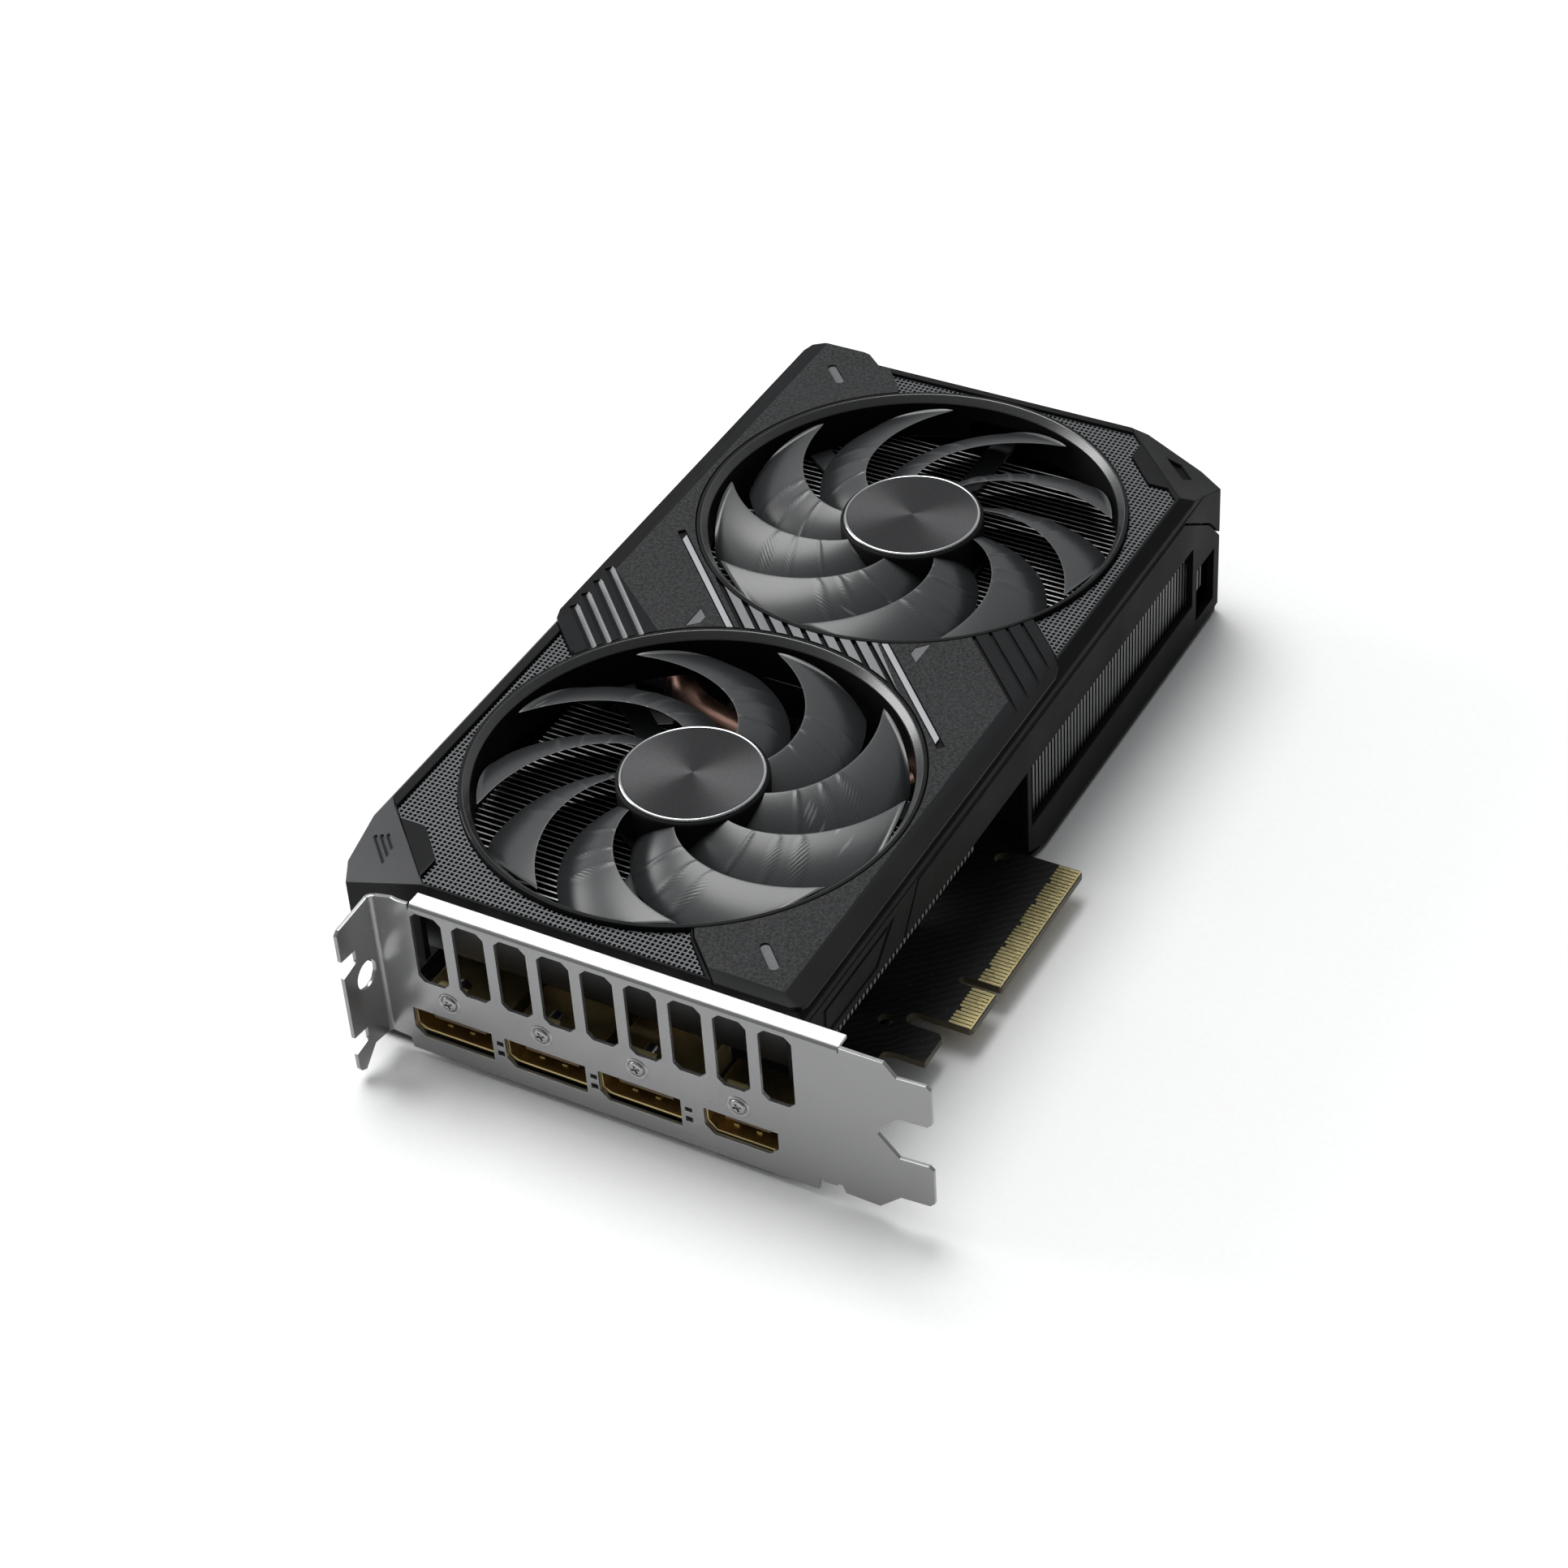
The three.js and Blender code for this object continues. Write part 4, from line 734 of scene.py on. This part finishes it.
# ---------------------------------------------------------------- perforated inserts
def build_mesh(i, pts):
    pitch, hole, z1 = 1.07, 0.74, ROOF - 0.75
    z0 = z1 - 0.55
    xs0, xs1 = min(p[0] for p in pts) - 1, max(p[0] for p in pts) + 1
    ys0, ys1 = min(p[1] for p in pts) - 1, max(p[1] for p in pts) + 1
    nx, ny = int((xs1 - xs0) / pitch), int((ys1 - ys0) / pitch)
    gx = np.array([xs0 + k // 2 * pitch + (k % 2) * (pitch - hole) for k in range(2 * nx + 1)] + [xs0 + nx * pitch + pitch - hole])
    gy = np.array([ys0 + k // 2 * pitch + (k % 2) * (pitch - hole) for k in range(2 * ny + 1)] + [ys0 + ny * pitch + pitch - hole])
    cx, cy = len(gx), len(gy)
    verts = [(x, y, z) for z in (z0, z1) for y in gy for x in gx]
    vid = lambda a, b, k: k * cx * cy + b * cx + a
    faces = []
    for b in range(cy - 1):
        for a in range(cx - 1):
            if a % 2 == 1 and b % 2 == 1:
                continue
            faces.append([vid(a, b, 1), vid(a + 1, b, 1), vid(a + 1, b + 1, 1), vid(a, b + 1, 1)])
            faces.append([vid(a, b + 1, 0), vid(a + 1, b + 1, 0), vid(a + 1, b, 0), vid(a, b, 0)])
    for b in range(1, cy - 1, 2):
        for a in range(1, cx - 1, 2):
            q = [(a, b), (a + 1, b), (a + 1, b + 1), (a, b + 1)]
            for k in range(4):
                (a0, b0), (a1, b1) = q[k], q[(k + 1) % 4]
                faces.append([vid(a0, b0, 1), vid(a0, b0, 0), vid(a1, b1, 0), vid(a1, b1, 1)][::-1])
    edge = [(a, 0) for a in range(cx)] + [(cx - 1, b) for b in range(1, cy)] + [(a, cy - 1) for a in range(cx - 2, -1, -1)] + [(0, b) for b in range(cy - 2, 0, -1)]
    for k in range(len(edge)):
        (a0, b0), (a1, b1) = edge[k], edge[(k + 1) % len(edge)]
        faces.append([vid(a0, b0, 1), vid(a0, b0, 0), vid(a1, b1, 0), vid(a1, b1, 1)])
    grid = outward(mesh_of(verts, faces))
    region = prism(inset(pts, 0.2), z0 - 1, z1 + 1)
    region = cut(region, ring_tool(0, RIM_R + 1.3, 0, 50), ring_tool(1, RIM_R + 1.3, 0, 50), prism(inset(COVER, -0.1), 0, 50))
    out = meet(grid, region)
    piece(f"perforated_insert_{i + 1}", tidy(out, 0), "card", M["mesh"], (f"mesh_insert_{i + 1}",), weighted=False)


build_mesh(0, MESH_FRONT)
build_mesh(1, MESH_REAR)


# ---------------------------------------------------------------- fans
def build_rotor(i):
    sense = 1 if i == 0 else -1
    rows, cols = 176, 18
    meshes = []
    for k in range(9):
        verts, faces = [], []
        lead_tip = 5.8 + 40 * k
        for side in (1, -1):
            for a in range(rows + 1):
                t = a / rows
                r = HUB_R - 0.7 + (TIP_R - HUB_R + 0.7) * t
                tr = max(0.0, (r - HUB_R) / (TIP_R - HUB_R))
                s = tr ** 1.12
                lead = lead_tip - 50 + 50 * s
                trail = lead_tip - 84 + 53 * tr ** 1.02
                # the tip corners are rounded off
                cut_l = 0.8 * max(0.0, (tr - 0.96) / 0.04) ** 2
                cut_t = 2.2 * max(0.0, (tr - 0.93) / 0.07) ** 2
                lead -= cut_l * 0.5
                trail += cut_t
                hi = 32.9 - 0.4 * tr
                lo = 26.3 + 0.2 * tr
                for b in range(cols + 1):
                    u = b / cols
                    u2 = 0.5 - 0.5 * math.cos(math.pi * u)
                    ang = trail + (lead - trail) * u2
                    z = lo + (hi - lo) * u2 ** 0.92
                    z += 0.75 * math.sin(math.pi * u2) * (0.5 + 0.5 * tr)
                    thick = (0.85 - 0.25 * tr) * (0.12 + math.sin(math.pi * u2) ** 0.6)
                    z += side * thick * 0.5
                    if side > 0:
                        for r_lead, r_trail in ((20.8, 25.0), (25.0, 31.0), (28.2, 35.4)):
                            rk = r_trail + (r_lead - r_trail) * u2
                            z += 0.24 * math.exp(-(((r - rk) / 0.27) ** 2)) * min(1.0, 9 * u2) * min(1.0, 9 * (1 - u2))
                    z += 0.55 * max(0.0, (tr - 0.965) / 0.035) ** 2 * math.sin(math.pi * min(1, u2 * 1.02)) ** 0.5
                    w = math.radians(ang) * sense if sense > 0 else -math.radians(ang - 5.8) + math.radians(FAN2_TURN)
                    verts.append((r * math.cos(w), r * math.sin(w), min(z, 33.4)))
        n = (rows + 1) * (cols + 1)
        at = lambda s, a, b: s * n + a * (cols + 1) + b
        for a in range(rows):
            for b in range(cols):
                faces.append([at(0, a, b), at(0, a + 1, b), at(0, a + 1, b + 1), at(0, a, b + 1)])
                faces.append([at(1, a, b), at(1, a, b + 1), at(1, a + 1, b + 1), at(1, a + 1, b)])
            for b in (0, cols):
                faces.append([at(0, a, b), at(1, a, b), at(1, a + 1, b), at(0, a + 1, b)])
        for a in (0, rows):
            for b in range(cols):
                faces.append([at(0, a, b), at(0, a, b + 1), at(1, a, b + 1), at(1, a, b)])
        meshes.append(outward(mesh_of(verts, faces)))
    hub = lathe([(1.0, 32.0), (12.6, 32.0), (12.6, 25.25), (13.0, 25.2), (15.1, 25.2), (15.4, 25.45), (15.4, 33.0), (15.25, 33.35),
                 (14.95, 33.55), (14.75, 33.6), (1.0, 33.6), (1.0, 32.0)], 0, 0, 128)
    # the hub body takes the near-black plastic: painted shade under the cap
    for p in hub.polygons:
        p.material_index = 1
    meshes.append(hub)
    me = merged(meshes)
    me.transform(Matrix.Translation((FAN_X[i], FAN_Y, 0)))
    piece(f"fan_{i + 1}_blades", me, f"fan_{i + 1}", [M["blade"], M["groove"]], (f"fan_{i + 1}_rotor",), angle=48, weighted=False)
    # turned cap: fine concentric cuts, bright chamfer
    prof = [(0.0, 33.66)]
    r = 0.25
    top = 34.05
    prof = [(0.0, 33.64), (14.5, 33.64), (14.68, 33.7), (14.68, 33.86), (14.36, top + 0.06), (14.16, top + 0.06), (14.08, top)]
    r, up = 13.95, True
    while r > 0.3:
        prof.append((r, top - (0.0 if up else 0.020)))
        up = not up
        r -= 0.19
    prof.append((0.0, top))
    cap = lathe(prof, FAN_X[i], FAN_Y, 144)
    for p in cap.polygons:
        rad = math.hypot(p.center.x - FAN_X[i], p.center.y - FAN_Y)
        p.material_index = 1 if rad > 14.1 and p.center.z > 33.66 else 0
    piece(f"fan_{i + 1}_cap", cap, f"fan_{i + 1}", [M["cap"], M["cap_edge"]], (f"fan_{i + 1}_hub_cap",), angle=60, weighted=False)


FAN2_TURN = 14.0
build_rotor(0)
build_rotor(1)


# ---------------------------------------------------------------- cooler
def build_fins():
    t = 0.34

    def stack(name, node, x, end, outline, ends):
        meshes = []
        while x < end:
            fin = prism(outline, x, x + t, "x")
            for p in fin.polygons:
                # fin faces dark as painted shade, top edges near-white as a painted highlight, ends mid grey as painted
                # shade
                p.material_index = 1 if p.normal.z > 0.5 else (2 if abs(p.normal.y) > 0.5 else 0)
            meshes.append(fin)
            for y0, y1, z0, z1 in ends:
                tab = block(x + t, x + 0.82, y0, y1, z0, z1)
                for p in tab.polygons:
                    # tabs take the mid grey of the fin ends: painted shade
                    p.material_index = 2
                meshes.append(tab)
            x += 1.56
        piece(name, merged(meshes), "card", [M["fin"], M["fin_edge"], M["fin_side"]], (node,), weighted=False)

    stack("front_fins", "fin_stack_front", 9.0, 79.2, [(30.0, 14.3), (121.2, 14.3), (121.2, 22.6), (30.0, 22.6)], [(30.0, 30.25, 14.5, 22.4)])
    stack("rear_fins", "fin_stack_rear", 101.2, 192.6,
          [(30.0, 2.6), (54.5, 2.6), (54.5, 14.25), (105.3, 14.25), (105.3, 2.6), (121.2, 2.6), (121.2, 22.6), (30.0, 22.6)],
          [(30.0, 30.25, 2.8, 22.4), (120.95, 121.2, 2.8, 22.4)])


# near-white fin top edges: a painted highlight; mid grey fin ends: painted shade
M["fin_edge"] = sheet("fin_edge_metal", (0.88, 0.89, 0.90), 0.42, 0.004, (0.2, 1, 1), 2600, 0.5, 0.06, 0.25)
M["fin_side"] = sheet("fin_side_metal", (0.10, 0.102, 0.105), 0.45, 0.004, (1, 1, 0.2), 2600, 0.6, 0.1, 0.3)
build_fins()


def tube(path, r, name, body, mat, stands_for, sides=24, cap=True):
    """A round tube along a smooth path through the given points."""
    pts = [Vector(p) for p in path]
    fine = []
    for k in range(len(pts) - 1):
        p0, p1, p2, p3 = pts[max(k - 1, 0)], pts[k], pts[k + 1], pts[min(k + 2, len(pts) - 1)]
        for s in range(12):
            u = s / 12
            fine.append(0.5 * ((2 * p1) + (p2 - p0) * u + (2 * p0 - 5 * p1 + 4 * p2 - p3) * u * u + (3 * p1 - 3 * p2 + p3 - p0) * u ** 3))
    fine.append(pts[-1])
    verts, faces = [], []
    side = Vector((0, 0, 1))
    for k, p in enumerate(fine):
        d = (fine[min(k + 1, len(fine) - 1)] - fine[max(k - 1, 0)]).normalized()
        a = d.cross(side).normalized()
        b = a.cross(d)
        rr = r if isinstance(r, (int, float)) else r[0]
        verts += [p + a * math.cos(2 * math.pi * s / sides) * rr + b * math.sin(2 * math.pi * s / sides) * rr for s in range(sides)]
    for k in range(len(fine) - 1):
        for s in range(sides):
            t = (s + 1) % sides
            faces.append([k * sides + s, k * sides + t, (k + 1) * sides + t, (k + 1) * sides + s])
    faces.append(list(range(sides)))
    faces.append(list(range((len(fine) - 1) * sides, len(fine) * sides)))
    piece(name, outward(mesh_of(verts, faces)), body, mat, stands_for, angle=50, weighted=False)


PIPES = (
    [(20, 68, 11.1), (58, 68, 11.1), (70, 66, 11.8), (80, 60, 15.2), (87, 52.5, 18.8), (93, 48.8, 19.5), (101, 47.5, 18.4), (110, 47.5, 17.6), (191, 47.5, 17.6)],
    [(20, 79.9, 11.1), (62, 79.9, 11.1), (73, 77.0, 12.4), (80.5, 75.4, 16.6), (85.6, 79.5, 19.2), (87.8, 89.5, 19.5), (91.6, 100.4, 19.5), (97.8, 106.4, 19.2),
     (107, 108, 17.6), (191, 108, 17.6)],
    [(20, 91.8, 11.1), (88, 91.8, 11.1), (95, 91.8, 12.2), (104, 91.8, 17.2), (112, 91.8, 17.6), (191, 91.8, 17.6)])
for k, path in enumerate(PIPES):
    tube(path, 2.9, f"pipe_{k + 1}", "card", M["copper"], (f"heatpipe_{k + 1}",))

# a small open clip stands in the gap between the two fin stacks
clip = prism([(84.2, 101.6), (96.2, 107.6), (96.2, 120.6), (80.6, 120.6), (80.6, 108.0)], 15.0, 18.6)
clip = cut(clip, prism([(86.4, 105.4), (93.6, 109.0), (93.6, 115.4), (86.4, 112.4)], 10, 25), prism([(82.4, 115.4), (94.4, 118.4), (94.4, 119.4), (82.4, 117.4)], 17.6, 25))
piece("duct_clip", tidy(clip, 0.25, 2), "card", M["clip"], ())

for n in ("cold_plate",):
    node_look(n, M["nickel"], 0.25)
node_look("retention_frame", M["screw"], 0.15)
node_look("gpu_substrate", M["chip"], 0.1)
node_look("gpu_die", M["die"], 0.05)
for k in range(1, 5):
    node_look(f"memory_chip_{k}", M["chip"], 0.12)
for k in (1, 2):
    node_look(f"thermal_pad_{k}", M["pad"], 0.3)
    node_look(f"capacitor_{k}", M["capm"], 0.2, smooth=40)
    node_look(f"fan_{k}_stator", M["copper"], 0.2)
    node_look(f"fan_{k}_bearing", M["gold"], 0.1)
    node_look(f"fan_{k}_shaft", M["screw"], 0.05)
    # fan supports take the light grey plastic: painted light
    node_look(f"fan_{k}_support", M["arm"], 0.3)
for k in (1, 2, 3):
    node_look(f"inductor_{k}", M["chip"], 0.3)
node_look("fan_header", M["conn"], 0.12)
node_look("power_connector", M["conn"], 0.15)
# the lower shell takes the darker copy of the shroud plastic: painted shade
node_look("lower_shell", M["side"], 0.25)
node_look("backplate", M["back"], 0.18)
node_look("circuit_board", M["board"], 0.06)
for k in range(1, 5):
    node_look(f"video_socket_{k}_shell", M["gold"], 0.12)
    node_look(f"video_socket_{k}_tongue", M["tongue"], 0.1)


# ---------------------------------------------------------------- slot bracket
def build_bracket():
    t, top, low = 0.86, 33.3, -5.4
    r = 0.9
    fy = 119.05
    plate = [(0.9, 20.32), (0, 21.2), (0, 29.6), (0.9, 30.51), (6.7, 30.51), (9.2, top), (113.0, top), (114.2, top + 0.3), (fy - r, 32.7), (fy - r, -2.6),
             (114.6, -2.9), (114.2, low), (24.0, low), (23.8, -2.4), (23.2, -2.2), (22.9, -2.9), (20.1, -2.8), (19.8, -2.2), (19.0, -2.2), (18.3, -3.9),
             (11.1, -4.1), (6.7, 0), (0.9, 0), (0, 0.9), (0, 9.3), (0.9, 10.19), (6.7, 10.19), (11.0, 14.8), (11.0, 16.3), (6.7, 20.32)]
    body = prism(plate, 0, t, "x")
    # nine vent windows with clipped corners and the socket openings are cut from the plate
    tools = []
    for i in range(9):
        y1 = 110.3 - i * 9.42
        y0, c = y1 - 7.0, 1.4
        tools.append(prism([(y0, 13.7 + c), (y0 + c, 13.7), (y1 - c, 13.7), (y1, 13.7 + c), (y1, 31.5 - c), (y1 - c, 31.5), (y0 + c, 31.5), (y0, 31.5 - c)], -2, 3, "x"))
    for k, (y0, y1, z0, z1) in enumerate(SOCKETS):
        c = 2.0
        far = c if k == 3 else 0
        pts = [(y0, z0 + far), (y0 + far, z0), (y1 - c, z0), (y1, z0 + c), (y1, z1), (y0, z1)]
        if not far:
            pts = [(y0, z0), (y1 - c, z0), (y1, z0 + c), (y1, z1), (y0, z1)]
        tools.append(prism(pts, -2, 3, "x"))
    # small stamped windows between the sockets
    for y in (93.2, 72.2, 51.4):
        tools.append(prism([(y - 0.75, 3.2), (y + 0.75, 3.2), (y + 0.75, 4.3), (y - 0.75, 4.3)], -2, 3, "x"))
        tools.append(prism([(y - 0.75, 0.6), (y + 0.75, 0.6), (y + 0.75, 1.9), (y - 0.75, 1.9)], -2, 3, "x"))
    tools.append(block(-1, 2, 18.2, 110.6, 31.95, 36))
    body = cut(body, *tools)
    arc = lambda cx, cz, rad, a0, a1, n=7: [(cx + rad * math.cos(math.radians(a0 + (a1 - a0) * k / n)), cz + rad * math.sin(math.radians(a0 + (a1 - a0) * k / n))) for k in range(n + 1)]
    lip = [(0, 31.9)] + arc(1.35, top - 1.35, 1.35, 180, 90) + [(3.9, top), (3.9, top - t)] + arc(1.35, top - 1.35, 0.5, 90, 180) + [(t, 31.9)]
    body = join(body, prism(lip, 18.4, 110.4, "y"))
    # screw flange turned out through a small bend
    reach = -11.43
    flange = [(-r, 32.4), (reach + 1.0, 31.9), (reach, 31.0), (reach, 24.4), (-6.9, 23.9), (-6.9, 20.9), (reach, 20.1), (reach, 4.6), (-7.1, 4.0), (-7.1, 0.9),
              (reach, 0.3), (reach, -3.4), (-10.9, -4.4), (-9.4, -5.2), (-7.6, -3.6), (-5.4, -1.6), (-r, -2.4)]
    ear = prism(flange, fy, fy + t, "y")
    ear = cut(ear, prism(circle(-4.6, 15.7, 3.1, 48), fy - 2, fy + 3, "y"))
    bend = [(p[0], p[1]) for p in arc(-r, fy - r, r + t, 0, 90)] + [(p[0], p[1]) for p in arc(-r, fy - r, r, 90, 0)]
    body = join(body, ear, prism(bend, -2.5, 32.5, "z"))
    body = tidy(body, 0.11, 2, 26)
    # tabs lean back very slightly beyond their bend line
    for v in body.vertices:
        if v.co.y < 4.7:
            v.co.x += 0.10 * (4.7 - v.co.y)
    # the lip's flat top faces take the near-white steel: a painted highlight for the light the top reflects
    for p in body.polygons:
        x, y, z = p.center
        if z > 32.6 and 18.0 < y < 110.8 and p.normal.z > 0.55 and 0.5 < x < 3.6:
            p.material_index = 1
    piece("bracket", body, "card", [M["bracket"], M["bend"]], ("slot_bracket",), angle=30)
    # countersunk-look pan screws with a cross recess, each in a pressed ring
    for k, (y, z) in enumerate(((103.9, 10.2), (83.1, 10.2), (62.1, 10.2), (40.3, 9.4))):
        head = lathe([(0, 0.5), (1.1, 0.52), (1.5, 0.42), (1.72, 0.12), (1.72, -0.05), (1.2, -0.1), (1.2, -6.3), (0, -6.4)], 0, 0, 48)
        for turn in (0.35, 0.35 + math.pi / 2):
            g = block(-0.98, 0.98, -0.23, 0.23, 0.12, 1)
            g.transform(Matrix.Rotation(turn, 4, "Z"))
            head = cut(head, g)
        head = cut(head, lathe([(0, 0.05), (0.35, 0.1), (0.62, 1), (0, 1)], 0, 0, 24))
        head = tidy(head, 0.05, 2)
        ring = lathe([(1.86, 0.0), (2.02, 0.14), (2.3, 0.15), (2.46, 0.0), (2.3, -0.02), (2.0, -0.02), (1.86, 0.0)], 0, 0, 48)
        me = merged([head, ring])
        me.transform(Matrix.Translation((-0.02, y, z)) @ Matrix.Rotation(math.radians(-90), 4, "Y"))
        piece(f"bracket_fixing_{k + 1}", me, "card", M["screw"], (f"bracket_screw_{k + 1}",), weighted=False)
    # sprung contact windows on the socket tongues
    for k, (y0, y1, z0, z1) in enumerate(SOCKETS):
        mid = (y0 + y1) / 2
        bits = []
        floor = z0 + (0.95 if k < 3 else 0.3)
        for yc in ((107.1, 102.1), (86.1, 81.0), (65.3, 60.2), (43.1, 38.2))[k]:
            bits.append(tidy(block(3.3, 4.9, yc - 0.6, yc + 0.6, floor, floor + 0.75), 0.1, 2))
            bits.append(tidy(block(4.9, 8.5, yc - 0.35, yc + 0.35, floor, floor + 0.45), 0.08, 2))
        n_pins = 9
        for q in range(n_pins):
            yy = y0 + 4.0 + (y1 - y0 - 8.0) * q / (n_pins - 1)
            bits.append(tidy(block(2.5, 8.0, yy - 0.14, yy + 0.14, 3.6, 3.68), 0.02, 1))
        piece(f"video_socket_{k + 1}_contacts", merged(bits), "card", M["gold"], (), weighted=False)


SOCKETS = [(95.0, 113.0, -1.3, 5.7), (74.0, 92.0, -1.3, 5.7), (53.1, 71.1, -1.3, 5.7), (32.2, 48.0, -0.5, 5.7)]
build_bracket()


# ---------------------------------------------------------------- edge contacts
def build_contacts():
    """Gold fingers at 1 mm pitch on both faces, each with rounded ends, above the bevelled insertion edge."""
    t0 = 45.8
    top, bottom = -0.4, -0.4 - 1.57
    for face, z0, z1 in (("front", top + 0.0, top + 0.05), ("rear", bottom - 0.05, bottom)):
        for name, x0, count in (("short", t0, 11), ("long", t0 + 11.2 + 1.9, 38)):
            fingers = []
            for k in range(count):
                x = x0 + 0.62 + k * 1.0
                y1 = 19.95 if (k + 3) % 7 else 19.3
                pts = [(x - 0.36, 15.25), (x + 0.36, 15.25), (x + 0.36, y1 - 0.3), (x + 0.18, y1), (x - 0.18, y1), (x - 0.36, y1 - 0.3)]
                fingers.append(prism(pts, z0, z1))
            fingers.append(prism([(x0 + 0.2, 14.95), (x0 + count + 0.02, 14.95), (x0 + count + 0.02, 15.3), (x0 + 0.2, 15.3)], z0, z1))
            piece(f"edge_fingers_{name}_{face}", merged(fingers), "card", M["pad_gold"], (f"edge_contacts_{name}_{face}",), weighted=False)


build_contacts()


# ---------------------------------------------------------------- stage, light, camera
def build_stage():
    n = Nodes("stage_paper")
    a = n.noise(900, 3, 0.6)
    n.relief(a, 0.02, 0.2)
    mat = n.done(n.mix(n.span(a, 0, 1, 0.3, 0.7), (0.93, 0.93, 0.93), (0.95, 0.95, 0.95)), 0.9, 0.0)
    z = CAD_LO.z - 0.0006
    me = bpy.data.meshes.new("stage_floor")
    me.from_pydata([(-6, -6, z), (6, -6, z), (6, 6, z), (-6, 6, z)], [], [[0, 1, 2, 3]])
    me.materials.append(mat)
    floor = bpy.data.objects.new("stage_floor", me)
    scene.collection.objects.link(floor)


def area(name, at, aim, size, power, colour=(1, 1, 1), size_y=None):
    lamp = bpy.data.lights.new(name, "AREA")
    lamp.shape = "RECTANGLE"
    lamp.size, lamp.size_y = size, size_y or size
    lamp.energy, lamp.color = power, colour
    ob = bpy.data.objects.new(name, lamp)
    ob.location = at
    ob.rotation_euler = (Vector(aim) - Vector(at)).to_track_quat("-Z", "Y").to_euler()
    scene.collection.objects.link(ob)
    return ob


def build_light():
    world = bpy.data.worlds.new("studio")
    world.use_nodes = True
    scene.world = world
    t = world.node_tree
    bg = t.nodes["Background"]
    co = t.nodes.new("ShaderNodeTexCoord")
    dot = t.nodes.new("ShaderNodeVectorMath")
    dot.operation = "DOT_PRODUCT"
    dot.inputs[1].default_value = Vector((0.62, 0.45, 0.64)).normalized()
    t.links.new(co.outputs["Generated"], dot.inputs[0])
    ramp = t.nodes.new("ShaderNodeMapRange")
    ramp.interpolation_type = "SMOOTHSTEP"
    ramp.inputs[1].default_value, ramp.inputs[2].default_value = -0.2, 1.0
    ramp.inputs[3].default_value, ramp.inputs[4].default_value = 0.16, 0.62
    t.links.new(dot.outputs["Value"], ramp.inputs[0])
    t.links.new(ramp.outputs[0], bg.inputs[1])
    bg.inputs[0].default_value = (0.97, 0.985, 1.0, 1)
    sun = bpy.data.lights.new("soft_top", "SUN")
    sun.energy, sun.angle = 2.25, math.radians(40)
    ob = bpy.data.objects.new("soft_top", sun)
    ob.rotation_euler = Vector((0.22, 0.36, 0.9)).to_track_quat("Z", "Y").to_euler()
    scene.collection.objects.link(ob)
    area("side", (-0.10, 1.3, 0.34), (0.02, 0.05, 0.02), 0.7, 9.0)


def build_camera():
    cam = bpy.data.cameras.new("camera")
    cam.sensor_width, cam.lens = 36.0, 81.525
    cam.clip_start, cam.clip_end = 0.01, 50
    ob = bpy.data.objects.new("camera", cam)
    r = Vector((0.47476739, -0.87840041, -0.05485104))
    d = Vector((-0.58082653, -0.26588815, -0.76937899))
    f = Vector((0.66123858, 0.397135, -0.63643329))
    m = Matrix((r, -d, -f)).transposed().to_4x4()
    m.translation = Vector((-0.475035, -0.227720, 0.475644))
    ob.matrix_world = m
    scene.collection.objects.link(ob)
    scene.camera = ob


build_stage()
build_light()
build_camera()
scene.view_settings.view_transform = "Standard"
scene.view_settings.exposure = 0.0
